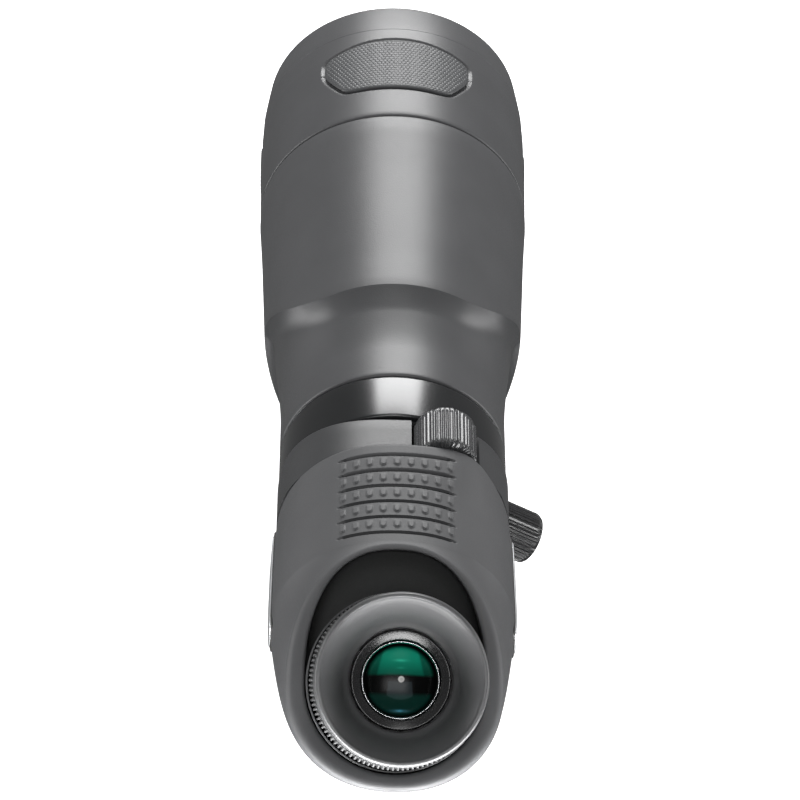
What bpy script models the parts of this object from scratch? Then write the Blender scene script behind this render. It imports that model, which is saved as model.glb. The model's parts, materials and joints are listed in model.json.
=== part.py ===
"""Angled 65 mm zoom spotting scope, built as an assembly of separate pieces.

+Z is up, +Y points at the scene being viewed, +X is the observer's right.
The origin lies on the bottom face of the tripod foot, under the collar.
Sizes are in millimetres and become metres when a mesh is made.
"""
import math

import bmesh
import bpy
from mathutils import Matrix

MM = 0.001
GAP = 0.3                    # clearance between pieces that touch

# Barrel axis, collar and foot
AXIS_HEIGHT = 62.0           # barrel axis above the foot's bottom face
TUBE_RADIUS = 31.0           # barrel tube where the collar turns
COLLAR_RADIUS = 34.3
COLLAR_HALF_LENGTH = 8.7
FOOT_HALF_WIDTH = 19.0
FOOT_REAR = -24.0
FOOT_FRONT = 40.0
FOOT_TOP = 9.7
SOCKET_PLACES = {"front": 26.0, "rear": -14.0}
SOCKET_RADIUS = 5.5
TAP_RADIUS = 3.1             # 1/4-20 thread, drawn as a plain bore
FOOT_SCREW_X = 8.0
LOCK_DROP = 28.5             # lock screw axis below horizontal, degrees
LOCK_KNOB_START = 35.7
LOCK_KNOB_END = 49.6
LOCK_KNOB_RADIUS = 8.2

# Barrel and sunshade, distances forward of the collar's middle
ARMOR_REAR = 9.3
SEAM = 124.0                 # where the barrel armour meets the sunshade
TUBE_FRONT = 174.0
SHADE_FRONT = 184.0
SHADE_RADIUS = 43.0
PAD_REAR = 137.3
PAD_FRONT = 163.8
PAD_RADIUS = 43.7
PAD_HALF_ANGLE_REAR = 23.5
PAD_HALF_ANGLE_FRONT = 33.0
PAD_ANGLES = {"top": 0.0, "right": 120.0, "left": 240.0}
BEZEL_REAR = 169.6

# Prism housing: a tube that bends up towards the eyepiece
HOUSING_FRONT = -26.0
NECK_FRONT = -9.3
NECK_SECTION = (34.6, 33.6, 33.5)    # half width, top and bottom
NECK_POWER = 2.6             # above 2 the section is squarer than a circle
HOUSING_POWER = 2.2
NECK_SCREW_RADIUS = 26.4
EYE_ANGLE = 47.0             # eyepiece axis above horizontal, degrees
EYE_CROSSING = -85.5         # where the eyepiece axis meets the barrel axis
BEND_RADIUS = 46.0
ARMOR_THICKNESS = 1.6
HOUSING_GAP = 0.45           # between the rubber skin and the casting
WALL_THICKNESS = 2.2
# forward place, half width, top and bottom of the housing's sections
HOUSING_STATIONS = (
    (-26.0, 34.6, 39.3, 33.5),
    (-32.0, 35.0, 39.2, 33.5),
    (-43.0, 35.4, 38.6, 33.0),
    (-55.0, 35.5, 38.2, 33.0),
)
HOUSING_BEND_SECTION = (35.5, 38.0, 33.0)
HOUSING_END_SECTION = (30.8, 38.0, 30.2)
RIM_TOP = (-66.1, 38.6)      # forward and up place of the pocket rim's top
RIM_SLOPE = 24.0             # the rim plane falls to the rear, degrees
POCKET_RADIUS = 26.2
POCKET_REACH = 37.8          # how far the pocket opens towards the deck
POCKET_POWER = 2.4           # the upper half is fuller than an ellipse
POCKET_FLOOR = 7.0           # along the eyepiece axis

# Focus drive
FOCUS_X = 14.3
FOCUS_Z = 31.1
FOCUS_KNOB_RADIUS = 9.4
FOCUS_KNOB_REAR = -25.4
FOCUS_KNOB_FRONT = -10.0
LEAD_RADIUS = 1.5
CARRIAGE_REAR = -43.0
CARRIAGE_FRONT = -37.0
ROD_DROP = 26.0

# Prisms and what holds them
PRISM_HALF_WIDTH = 12.5
PRISM_LOW = -21.5
TRAY_THICKNESS = 2.3
CLAMP_THICKNESS = 1.5

# Eyepiece, distances along its own axis from the crossing
FLANGE_RADIUS = 24.8
EYE_TUBE_RADIUS = 15.0
ZOOM_REAR = 14.0
ZOOM_FRONT = 57.0
GRIP_RADIUS = 24.1
CUP_REAR = 58.0
CUP_FRONT = 98.0
CUP_RADIUS = 23.0

LARGE_ROUND = 28
MEDIUM_ROUND = 20
SMALL_ROUND = 12
SECTION_POINTS = 28

COLOURS = {
    "armor_rubber": ((0.105, 0.108, 0.112), 0.62, 0.0),
    "dark_rubber": ((0.045, 0.046, 0.048), 0.7, 0.0),
    "eyecup_rubber": ((0.09, 0.092, 0.094), 0.55, 0.0),
    "black_metal": ((0.02, 0.02, 0.022), 0.3, 1.0),
    "housing_metal": ((0.05, 0.052, 0.055), 0.5, 1.0),
    "bare_metal": ((0.6, 0.6, 0.6), 0.3, 1.0),
    "brass_part": ((0.6, 0.45, 0.18), 0.35, 1.0),
    "knob_plastic": ((0.03, 0.03, 0.032), 0.35, 0.0),
    "lens_glass": ((0.55, 0.75, 0.68), 0.03, 0.0),
    "badge_finish": ((0.5, 0.5, 0.5), 0.4, 0.6),
}


def frame_at(place, rotation=None):
    """World frame at a place given in millimetres."""
    frame = Matrix.Translation([value * MM for value in place])
    if rotation is not None:
        frame = frame @ rotation
    return frame


FORWARD = Matrix.Rotation(math.radians(-90.0), 4, "X")
AXIS_FRAME = frame_at((0.0, 0.0, AXIS_HEIGHT))
BARREL_FRAME = frame_at((0.0, 0.0, AXIS_HEIGHT), FORWARD)
FOCUS_FRAME = frame_at((FOCUS_X, 0.0, AXIS_HEIGHT + FOCUS_Z), FORWARD)
ROD_FRAME = frame_at((0.0, 0.0, AXIS_HEIGHT - ROD_DROP), FORWARD)
EYE_TURN = Matrix.Rotation(math.radians(90.0 - EYE_ANGLE), 4, "X")
EYE_FRAME = frame_at((0.0, EYE_CROSSING, AXIS_HEIGHT), EYE_TURN)
LOCK_TURN = Matrix.Rotation(math.radians(90.0 + LOCK_DROP), 4, "Y")
LOCK_FRAME = frame_at((0.0, 0.0, AXIS_HEIGHT), LOCK_TURN)


def clear_scene():
    for item in list(bpy.data.objects):
        bpy.data.objects.remove(item, do_unlink=True)


def material(name):
    found = bpy.data.materials.get(name)
    if found is not None:
        return found
    colour, roughness, metallic = COLOURS[name]
    made = bpy.data.materials.new(name)
    made.use_nodes = True
    shader = made.node_tree.nodes["Principled BSDF"]
    shader.inputs["Base Color"].default_value = (*colour, 1.0)
    shader.inputs["Roughness"].default_value = roughness
    shader.inputs["Metallic"].default_value = metallic
    made.diffuse_color = (*colour, 1.0)
    return made


def finish_mesh(shape, name, frame, finish):
    """Turn a bmesh into a named object whose origin is its frame."""
    bmesh.ops.recalc_face_normals(shape, faces=shape.faces)
    mesh = bpy.data.meshes.new(name)
    shape.to_mesh(mesh)
    shape.free()
    mesh.shade_smooth()
    mesh.set_sharp_from_angle(angle=math.radians(32.0))
    item = bpy.data.objects.new(name, mesh)
    bpy.context.scene.collection.objects.link(item)
    item.matrix_world = frame
    if finish is None:
        item.hide_render = True
        item.display_type = "WIRE"
    else:
        mesh.materials.append(material(finish))
    return item


def join_rings(shape, ring, following):
    """Bridge two rings of vertices; a ring of one vertex is a tip."""
    if len(ring) == 1 and len(following) == 1:
        return
    count = max(len(ring), len(following))
    for index in range(count):
        after = (index + 1) % count
        if len(ring) == 1:
            shape.faces.new((ring[0], following[after], following[index]))
        elif len(following) == 1:
            shape.faces.new((ring[index], ring[after], following[0]))
        else:
            shape.faces.new((ring[index], ring[after], following[after], following[index]))


def turned(name, frame, profile, segments, finish, ripple=None):
    """Turn a closed outline of (radius, height) points about local Z.

    ripple(angle) scales the radius of the points marked by a third value.
    """
    shape = bmesh.new()
    rings = []
    for point in profile:
        radius, height = point[0], point[1]
        if radius == 0.0:
            rings.append([shape.verts.new((0.0, 0.0, height * MM))])
            continue
        ring = []
        for step in range(segments):
            angle = 2.0 * math.pi * step / segments
            reach = radius * MM
            if ripple is not None and len(point) == 3:
                reach *= ripple(angle)
            place = (reach * math.cos(angle), reach * math.sin(angle), height * MM)
            ring.append(shape.verts.new(place))
        rings.append(ring)
    for index, ring in enumerate(rings):
        join_rings(shape, ring, rings[(index + 1) % len(rings)])
    return finish_mesh(shape, name, frame, finish)


def tube(name, frame, inner, outer, start, end, finish, segments=LARGE_ROUND):
    profile = ((outer, end), (outer, start), (inner, start), (inner, end))
    return turned(name, frame, profile, segments, finish)


def rod(name, frame, radius, start, end, finish, segments=SMALL_ROUND):
    profile = ((0.0, end), (radius, end), (radius, start), (0.0, start))
    return turned(name, frame, profile, segments, finish)


def lens(name, frame, radius, start, end, start_bulge, end_bulge, segments=MEDIUM_ROUND):
    """A glass element; a positive bulge swells that side outwards."""
    steps = 3
    profile = []
    for step in range(steps + 1):
        share = step / steps
        profile.append((radius * share, end + end_bulge * (1.0 - share * share)))
    for step in range(steps, -1, -1):
        share = step / steps
        profile.append((radius * share, start - start_bulge * (1.0 - share * share)))
    return turned(name, frame, profile, segments, "lens_glass")


def screw(name, frame, head_radius, head_height, shank_radius, shank_length):
    """A cap screw whose head sits on local Z = 0 and points along +Z."""
    socket = head_radius * 0.5
    floor = head_height * 0.4
    profile = (
        (0.0, floor), (socket, floor), (socket, head_height), (head_radius, head_height),
        (head_radius, 0.0), (shank_radius, 0.0), (shank_radius, -shank_length), (0.0, -shank_length),
    )
    return turned(name, frame, profile, 8, "bare_metal")


def prism_solid(name, frame, outline, start, end, finish):
    """Extrude an outline of (x, y) points along local Z."""
    shape = bmesh.new()
    low = [shape.verts.new((x * MM, y * MM, start * MM)) for x, y in outline]
    high = [shape.verts.new((x * MM, y * MM, end * MM)) for x, y in outline]
    shape.faces.new(low)
    shape.faces.new(high)
    join_rings(shape, low, high)
    return finish_mesh(shape, name, frame, finish)


def side_profile(name, outline, left, right, finish):
    """Extrude a side view of (forward, up) points from left to right."""
    turn = Matrix(((0.0, 0.0, 1.0, 0.0), (1.0, 0.0, 0.0, 0.0), (0.0, 1.0, 0.0, 0.0), (0.0, 0.0, 0.0, 1.0)))
    return prism_solid(name, AXIS_FRAME @ turn, outline, left, right, finish)


def rounded_box(half_x, half_y, corner, steps=3):
    """Outline of a rectangle with round corners."""
    outline = []
    for quarter, (side_x, side_y) in enumerate(((1, 1), (-1, 1), (-1, -1), (1, -1))):
        for step in range(steps + 1):
            angle = math.radians(90.0 * (quarter + step / steps))
            x = side_x * (half_x - corner) + corner * math.cos(angle)
            y = side_y * (half_y - corner) + corner * math.sin(angle)
            outline.append((x, y))
    return outline


def boolean(target, tool, operation="DIFFERENCE"):
    modifier = target.modifiers.new(operation.lower() + "_" + tool.name, "BOOLEAN")
    modifier.operation = operation
    modifier.solver = "EXACT"
    modifier.object = tool


# Tripod collar and foot

def make_collar():
    ring = rod("collar_ring", BARREL_FRAME, COLLAR_RADIUS, -COLLAR_HALF_LENGTH,
               COLLAR_HALF_LENGTH, "black_metal", 32)
    stem_top = -COLLAR_RADIUS + 4.0
    stem_bottom = FOOT_TOP + GAP - AXIS_HEIGHT
    stem = prism_solid("collar_stem_guide", AXIS_FRAME, rounded_box(15.0, 8.3, 3.0),
                       stem_bottom, stem_top, None)
    boss = rod("collar_boss_guide", LOCK_FRAME, 6.5, 30.0, LOCK_KNOB_START - GAP, None, MEDIUM_ROUND)
    bore = rod("collar_bore_guide", BARREL_FRAME, TUBE_RADIUS + 1.3, -12.0, 12.0, None, 32)
    lock_hole = rod("lock_hole_guide", LOCK_FRAME, 3.4, 28.0, 40.0, None)
    boolean(ring, stem, "UNION")
    boolean(ring, boss, "UNION")
    boolean(ring, bore)
    boolean(ring, lock_hole)
    liner = tube("collar_liner", BARREL_FRAME, TUBE_RADIUS + GAP, TUBE_RADIUS + 1.0,
                 -COLLAR_HALF_LENGTH, COLLAR_HALF_LENGTH, "dark_rubber")
    boolean(liner, lock_hole)
    return ring


def make_foot(ring):
    half = FOOT_HALF_WIDTH
    neck = half - 3.2
    section = ((-half, 0.0), (half, 0.0), (half, 2.5), (neck, 5.7), (neck, FOOT_TOP),
               (-neck, FOOT_TOP), (-neck, 5.7), (-half, 2.5))
    outline = [(x, -z) for x, z in section]
    plate = prism_solid("foot_plate", frame_at((0.0, 0.0, 0.0), FORWARD), outline,
                        FOOT_REAR, FOOT_FRONT, "black_metal")
    for place, forward in SOCKET_PLACES.items():
        frame = frame_at((0.0, forward, 0.0))
        hole = rod("socket_hole_guide_" + place, frame, SOCKET_RADIUS + GAP, -1.0, 11.0, None, 16)
        boolean(plate, hole)
        tube("socket_bush_" + place, frame, TAP_RADIUS, SOCKET_RADIUS, 0.2, 9.2, "bare_metal", 16)
    flip = Matrix.Rotation(math.pi, 4, "X")
    for side, x in (("left", -FOOT_SCREW_X), ("right", FOOT_SCREW_X)):
        frame = frame_at((x, 0.0, 0.0))
        stepped = ((0.0, 22.0), (2.1, 22.0), (2.1, 5.0), (3.7, 5.0), (3.7, -1.0), (0.0, -1.0))
        hole = turned("foot_screw_guide_" + side, frame, stepped, SMALL_ROUND, None)
        boolean(plate, hole)
        boolean(ring, hole)
        screw("foot_screw_" + side, frame_at((x, 0.0, 4.7), flip), 3.3, 3.6, 1.8, 15.0)


def lobes(angle, count=8, depth=0.05):
    """Finger grip: shallow valleys between round ridges."""
    return 1.0 - depth * 0.5 * (1.0 - math.cos(count * angle))


def knob_profile(radius, start, end, hub, hub_depth, edge):
    """A finger knob with one rounded end and a blind hole for its shaft."""
    return (
        (0.0, end), (radius - 2.0 * edge, end, 1), (radius - 0.6 * edge, end - 0.4 * edge, 1),
        (radius, end - 1.6 * edge, 1), (radius, start + 0.6, 1), (radius - 0.6, start, 1),
        (hub, start), (hub, start + hub_depth), (0.0, start + hub_depth),
    )


def make_lock():
    rod("brake_shoe", LOCK_FRAME, 3.0, TUBE_RADIUS + GAP, 32.9, "brass_part")
    rod("lock_screw", LOCK_FRAME, 3.0, 33.2, 41.2, "bare_metal")
    profile = knob_profile(LOCK_KNOB_RADIUS, LOCK_KNOB_START, LOCK_KNOB_END, 3.3, 6.0, 1.2)
    turned("lock_knob", LOCK_FRAME, profile, LARGE_ROUND, "knob_plastic", lobes)


# Barrel, objective and sunshade

def make_barrel():
    wall = 1.5
    flange_bore = 21.0
    profile = (
        (39.3, TUBE_FRONT), (39.3, 112.0), (36.6, 62.0), (TUBE_RADIUS, 36.0), (TUBE_RADIUS, -9.0),
        (flange_bore, -9.0), (flange_bore, -6.0), (TUBE_RADIUS - wall, -6.0),
        (TUBE_RADIUS - wall, 35.0), (36.6 - wall, 61.0), (39.3 - wall, 111.0), (39.3 - wall, TUBE_FRONT),
    )
    barrel = turned("barrel_tube", BARREL_FRAME, profile, LARGE_ROUND, "housing_metal")
    armor_profile = (
        (43.0, SEAM - GAP), (43.3, 118.0), (42.4, 108.0), (40.9, 75.0), (39.7, 52.0), (38.8, 47.0),
        (35.6, 40.0), (COLLAR_RADIUS, 35.0), (COLLAR_RADIUS, ARMOR_REAR),
        (TUBE_RADIUS + GAP, ARMOR_REAR), (TUBE_RADIUS + GAP, 35.6), (37.2, 62.8),
        (39.7, 111.5), (39.7, SEAM - GAP),
    )
    turned("barrel_armor", BARREL_FRAME, armor_profile, LARGE_ROUND, "armor_rubber")
    return barrel


def make_objective():
    bore = 39.3 - 1.5 - GAP
    seat = 33.8
    cell = ((bore, 171.0), (bore, 143.0), (31.8, 143.0), (31.8, 146.0), (seat, 146.0), (seat, 171.0))
    turned("objective_cell", BARREL_FRAME, cell, LARGE_ROUND, "black_metal")
    glass = seat - GAP
    lens("objective_rear_element", BARREL_FRAME, glass, 146.3, 149.0, -1.4, 0.6, LARGE_ROUND)
    tube("objective_spacer", BARREL_FRAME, 32.4, glass, 149.3, 151.6, "black_metal")
    lens("objective_front_element", BARREL_FRAME, glass, 151.9, 156.6, 0.9, 2.6, LARGE_ROUND)
    tube("objective_retaining_ring", BARREL_FRAME, 32.4, glass, 156.9, 160.5, "black_metal")
    tube("sunshade_guide_ring", BARREL_FRAME, 39.6, 40.3, 160.0, 168.0, "dark_rubber")


def pad_limits(share):
    """Rear and front edge of a grip pad, share running from -1 to 1 across it."""
    widest = PAD_HALF_ANGLE_FRONT
    angle = share * widest
    front = PAD_FRONT - 6.5 * share ** 4
    slope = (abs(angle) - PAD_HALF_ANGLE_REAR) / (PAD_HALF_ANGLE_FRONT - PAD_HALF_ANGLE_REAR)
    rear = PAD_REAR + max(0.0, slope) * (PAD_FRONT - 9.0 - PAD_REAR)
    return rear, front


def pad_solid(name, centre_angle, low, high, border, finish):
    """A curved pad on the sunshade, border widens its outline."""
    columns = 12
    shape = bmesh.new()
    grid = []
    spread = 1.0 + border / (PAD_RADIUS * math.radians(PAD_HALF_ANGLE_FRONT))
    for column in range(columns + 1):
        share = -1.0 + 2.0 * column / columns
        rear, front = pad_limits(share)
        angle = math.radians(centre_angle + share * spread * PAD_HALF_ANGLE_FRONT)
        line = []
        for radius, forward in ((low, rear - border), (high, rear - border),
                                (high, front + border), (low, front + border)):
            place = (radius * math.sin(angle) * MM, -radius * math.cos(angle) * MM, forward * MM)
            line.append(shape.verts.new(place))
        grid.append(line)
    for column in range(columns):
        join_rings(shape, grid[column], grid[column + 1])
    shape.faces.new(grid[0])
    shape.faces.new(grid[-1])
    return finish_mesh(shape, name, BARREL_FRAME, finish)


def make_sunshade():
    tube("sunshade_tube", BARREL_FRAME, 40.5, 41.2, SEAM + 1.5, 178.0, "housing_metal")
    skin = (
        (42.9, BEZEL_REAR - GAP), (43.3, 160.0), (43.3, 140.0), (SHADE_RADIUS, SEAM + GAP),
        (41.5, SEAM + GAP), (41.5, BEZEL_REAR - GAP),
    )
    armor = turned("sunshade_armor", BARREL_FRAME, skin, LARGE_ROUND, "armor_rubber")
    for place, angle in PAD_ANGLES.items():
        recess = pad_solid("pad_recess_guide_" + place, angle, 42.3, 46.0, 0.8, None)
        boolean(armor, recess)
        pad_solid("sunshade_pad_" + place, angle, 42.6, PAD_RADIUS, 0.0, "dark_rubber")
    bezel = (
        (40.6, SHADE_FRONT), (41.4, 183.6), (42.8, BEZEL_REAR), (41.5, BEZEL_REAR), (41.5, 178.3),
        (39.6, 178.3), (39.6, 183.4),
    )
    turned("sunshade_bezel", BARREL_FRAME, bezel, LARGE_ROUND, "armor_rubber")


# Prism housing

def section_ring(shape, centre, tilt, half_width, top, bottom, bump, power=HOUSING_POWER):
    """One ring of the housing: a rounded section, tilted about X."""
    up = (math.sin(tilt), math.cos(tilt))
    squareness = 2.0 / power
    ring = []
    for step in range(SECTION_POINTS):
        angle = 2.0 * math.pi * step / SECTION_POINTS
        across = math.copysign(abs(math.sin(angle)) ** squareness, math.sin(angle))
        rise = math.copysign(abs(math.cos(angle)) ** squareness, math.cos(angle))
        from_knob = math.degrees(angle) - 33.0
        swell = 1.0 + bump / top * math.exp(-(from_knob / 16.0) ** 2)
        height = top if rise > 0.0 else bottom
        x = half_width * across * swell
        lift = height * rise * swell
        place = (x * MM, (centre[0] + lift * up[0]) * MM, (centre[1] + lift * up[1]) * MM)
        ring.append(shape.verts.new(place))
    return ring


def housing_loft(name, inset, front, reach, finish, neck=False):
    """The housing's outer form, shrunk by inset, from its front to reach."""
    shape = bmesh.new()
    rings = []
    if neck:
        for forward in (NECK_FRONT, front + GAP):
            rings.append(section_ring(shape, (forward, 0.0), 0.0, *NECK_SECTION, 0.0, NECK_POWER))
    stations = [(front, *HOUSING_STATIONS[0][1:])]
    stations += [station for station in HOUSING_STATIONS if station[0] < front]
    for forward, half_width, top, bottom in stations:
        bump = 2.2 * min(1.0, max(0.0, 1.0 - (HOUSING_FRONT - forward) / 22.0))
        rings.append(section_ring(shape, (forward, 0.0), 0.0, half_width - inset, top - inset,
                                  bottom - inset, bump))
    bend = math.radians(EYE_ANGLE)
    bend_start = EYE_CROSSING + BEND_RADIUS * math.tan(bend / 2.0)
    steps = 5
    for step in range(steps + 1):
        share = step / steps
        tilt = bend * share
        centre = (bend_start - BEND_RADIUS * math.sin(tilt), BEND_RADIUS * (1.0 - math.cos(tilt)))
        sizes = [start + (end - start) * share - inset
                 for start, end in zip(HOUSING_BEND_SECTION, HOUSING_END_SECTION)]
        rings.append(section_ring(shape, centre, tilt, *sizes, 0.0))
    end_sizes = [size - inset for size in HOUSING_END_SECTION]
    end_centre = (EYE_CROSSING - reach * math.cos(bend), reach * math.sin(bend))
    rings.append(section_ring(shape, end_centre, bend, *end_sizes, 0.0))
    for index in range(len(rings) - 1):
        join_rings(shape, rings[index], rings[index + 1])
    shape.faces.new(rings[0])
    shape.faces.new(rings[-1])
    return finish_mesh(shape, name, AXIS_FRAME, finish)


def rim_cutter(name, depth):
    """Everything above the pocket's rim plane, lowered by depth."""
    turn = Matrix.Rotation(math.radians(RIM_SLOPE), 4, "X")
    frame = frame_at((0.0, RIM_TOP[0], AXIS_HEIGHT + RIM_TOP[1]), turn)
    outline = ((-60.0, -120.0), (60.0, -120.0), (60.0, 60.0), (-60.0, 60.0))
    return prism_solid(name, frame, outline, -depth, 120.0, None)


def pocket_cutter():
    """The eyepiece pocket: round below, drawn out towards the deck above."""
    outline = []
    steps = 28
    for step in range(steps):
        angle = 2.0 * math.pi * step / steps
        upper = math.sin(angle) > 0.0
        reach = POCKET_REACH if upper else POCKET_RADIUS
        power = 2.0 / POCKET_POWER if upper else 1.0
        across = math.copysign(POCKET_RADIUS * abs(math.cos(angle)) ** power, math.cos(angle))
        lift = math.copysign(reach * abs(math.sin(angle)) ** power, math.sin(angle))
        outline.append((across, lift))
    return prism_solid("pocket_guide", EYE_FRAME, outline, POCKET_FLOOR, 110.0, None)


def make_housing(barrel):
    pocket = pocket_cutter()
    armor = housing_loft("rear_armor", 0.0, HOUSING_FRONT, 66.0, "armor_rubber")
    hollow = housing_loft("armor_hollow_guide", ARMOR_THICKNESS, HOUSING_FRONT + 6.0, 60.0, None)
    boolean(hollow, rim_cutter("hollow_rim_guide", ARMOR_THICKNESS))
    boolean(armor, hollow)
    boolean(armor, rim_cutter("armor_rim_guide", 0.0))
    boolean(armor, pocket)

    inset = ARMOR_THICKNESS + HOUSING_GAP
    housing = housing_loft("prism_housing", inset, HOUSING_FRONT + GAP, 60.0, "housing_metal", neck=True)
    cavity = housing_loft("cavity_guide", inset + WALL_THICKNESS, HOUSING_FRONT - 3.5, 40.0, None)
    ceiling = prism_solid("cavity_ceiling_guide", EYE_FRAME, ((-60, -60), (60, -60), (60, 90), (-60, 90)),
                          POCKET_FLOOR - 4.0, 120.0, None)
    boolean(cavity, ceiling)
    boolean(housing, rim_cutter("housing_rim_guide", inset))
    boolean(housing, pocket)
    boolean(housing, cavity)
    boolean(housing, rod("front_bore_guide", BARREL_FRAME, 23.0, -36.0, 0.0, None, LARGE_ROUND))
    boolean(housing, rod("eye_bore_guide", EYE_FRAME, EYE_TUBE_RADIUS + GAP, -6.0, 12.0, None,
                         MEDIUM_ROUND))
    boolean(housing, rod("knob_pocket_guide", FOCUS_FRAME, FOCUS_KNOB_RADIUS + 0.6, HOUSING_FRONT + 0.1,
                         0.0, None, MEDIUM_ROUND))
    boolean(housing, rod("lead_bore_guide", FOCUS_FRAME, LEAD_RADIUS + 0.4, -50.0, -20.0, None))
    for index, angle in enumerate((120.0, 200.0, 320.0), start=1):
        across = NECK_SCREW_RADIUS * math.cos(math.radians(angle))
        rise = NECK_SCREW_RADIUS * math.sin(math.radians(angle))
        frame = frame_at((across, -5.7, AXIS_HEIGHT + rise), FORWARD)
        hole = rod("neck_hole_guide_%d" % index, frame, 1.6, -13.0, 1.0, None, 12)
        boolean(housing, hole)
        boolean(barrel, hole)
        screw("neck_screw_%d" % index, frame, 2.4, 2.2, 1.2, 11.0)


def make_badges():
    turn = Matrix.Rotation(math.radians(90.0), 4, "Y")
    for side, x in (("left", -36.6), ("right", 35.8)):
        frame = frame_at((x, -50.0, AXIS_HEIGHT + 1.0), turn)
        prism_solid("badge_" + side, frame, rounded_box(6.0, 20.0, 2.0), 0.0, 0.8, "badge_finish")


def make_prisms():
    half = PRISM_HALF_WIDTH
    low = PRISM_LOW
    helper = ((-50.5, -14.0), (-50.5, 15.0), (-67.5, 15.0), (-72.5, 9.0), (-72.5, low), (-64.5, low))
    roof = ((-73.1, low), (-87.5, low), (-97.8, -8.8), (-75.9, 11.7), (-73.1, 9.0))
    side_profile("correction_prism", helper, -half, half, "lens_glass")
    side_profile("roof_prism", roof, -half, half, "lens_glass")
    tray_top = low - GAP
    tray_floor = tray_top - TRAY_THICKNESS
    tray = prism_solid("prism_tray", frame_at((0.0, -63.0, AXIS_HEIGHT)), rounded_box(half, 12.0, 2.0),
                       tray_floor, tray_top, "black_metal")
    plate = ((-51.5, tray_floor), (-51.5, 12.0), (-72.5, 12.0), (-87.5, -4.0), (-87.5, -15.0),
             (-67.5, tray_floor))
    clamp_outer = half + GAP + CLAMP_THICKNESS
    clamp = side_profile("prism_clamp", plate, half + GAP, clamp_outer, "black_metal")
    turn = Matrix.Rotation(math.radians(90.0), 4, "Y")
    for index, forward in enumerate((-54.5, -63.5), start=1):
        frame = frame_at((clamp_outer + GAP, forward, AXIS_HEIGHT + (tray_floor + tray_top) / 2.0), turn)
        hole = rod("clamp_hole_guide_%d" % index, frame, 0.8, -9.0, 2.0, None, 12)
        boolean(clamp, hole)
        boolean(tray, hole)
        screw("clamp_screw_%d" % index, frame, 1.0, 0.9, 0.6, 8.0)


# Focus drive

def make_focus():
    bore = LEAD_RADIUS + GAP
    profile = knob_profile(FOCUS_KNOB_RADIUS, FOCUS_KNOB_REAR, FOCUS_KNOB_FRONT, bore, 10.0, 1.2)
    turned("focus_knob", FOCUS_FRAME, profile, LARGE_ROUND, "knob_plastic", lobes)
    rod("lead_screw", FOCUS_FRAME, LEAD_RADIUS, -49.5, -15.8, "bare_metal")
    block_half = 4.0
    carriage = tube("focus_carriage", BARREL_FRAME, 18.3, 22.0, CARRIAGE_REAR, CARRIAGE_FRONT,
                    "black_metal", MEDIUM_ROUND)
    direction = math.atan2(FOCUS_Z, FOCUS_X)
    arm_turn = Matrix.Rotation(math.pi / 2.0 - direction, 4, "Y")
    arm_outline = ((-block_half, CARRIAGE_REAR), (block_half, CARRIAGE_REAR),
                   (block_half, CARRIAGE_FRONT), (-block_half, CARRIAGE_FRONT))
    arm = prism_solid("half_nut_guide", AXIS_FRAME @ arm_turn, arm_outline, 20.0, 32.3, None)
    lug = prism_solid("rod_lug_guide", AXIS_FRAME, arm_outline, -28.2, -20.0, None)
    boolean(carriage, arm, "UNION")
    boolean(carriage, lug, "UNION")
    boolean(carriage, rod("half_nut_bore_guide", FOCUS_FRAME, LEAD_RADIUS + GAP, -70.0, -30.0, None))
    boolean(carriage, rod("rod_lug_bore_guide", ROD_FRAME, 1.6, -70.0, -30.0, None))
    rod("focus_guide_rod", ROD_FRAME, 1.2, -49.5, -29.8, "bare_metal")
    lens("focus_lens", BARREL_FRAME, 18.0, -42.0, -39.0, -1.0, -0.6)


# Eyepiece

def make_eyepiece():
    tube("eyepiece_flange", EYE_FRAME, EYE_TUBE_RADIUS + GAP, FLANGE_RADIUS, POCKET_FLOOR + GAP,
         13.6, "black_metal")
    tube("eyepiece_barrel", EYE_FRAME, 13.6, EYE_TUBE_RADIUS, 4.0, 84.0, "black_metal", MEDIUM_ROUND)
    tube("zoom_cam_sleeve", EYE_FRAME, 15.3, 16.6, 15.0, 56.5, "brass_part", MEDIUM_ROUND)
    ring = ((21.6, ZOOM_FRONT), (21.6, ZOOM_REAR + 3.0), (23.9, ZOOM_REAR + 2.6), (23.9, ZOOM_REAR),
            (16.9, ZOOM_REAR), (16.9, ZOOM_FRONT))
    turned("zoom_ring", EYE_FRAME, ring, LARGE_ROUND, "black_metal")
    grip = ((GRIP_RADIUS - 0.6, 56.6), (GRIP_RADIUS, 55.8), (GRIP_RADIUS, 18.2), (GRIP_RADIUS - 0.5, 17.4),
            (21.9, 17.4), (21.9, 56.6))
    turned("zoom_grip", EYE_FRAME, grip, LARGE_ROUND, "dark_rubber")
    for name, start in (("variator", 18.0), ("compensator", 44.0)):
        cell = ((13.3, start + 7.0), (13.3, start), (9.6, start), (9.6, start + 1.4), (10.8, start + 1.4),
                (10.8, start + 7.0))
        turned(name + "_cell", EYE_FRAME, cell, MEDIUM_ROUND, "black_metal")
        bulge = -0.8 if name == "variator" else 1.0
        lens(name + "_lens", EYE_FRAME, 10.5, start + 2.6, start + 5.2, bulge, bulge, 20)
    cell = ((13.0, 86.6), (13.3, 86.2), (13.3, 64.0), (9.2, 64.0), (9.2, 71.5), (10.9, 71.5), (10.9, 84.4))
    turned("eye_lens_cell", EYE_FRAME, cell, LARGE_ROUND, "knob_plastic")
    lens("eye_lens", EYE_FRAME, 10.6, 72.0, 79.4, 0.5, 2.0)
    tube("eye_lens_retainer", EYE_FRAME, 9.9, 10.6, 81.8, 83.0, "bare_metal", MEDIUM_ROUND)


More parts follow.
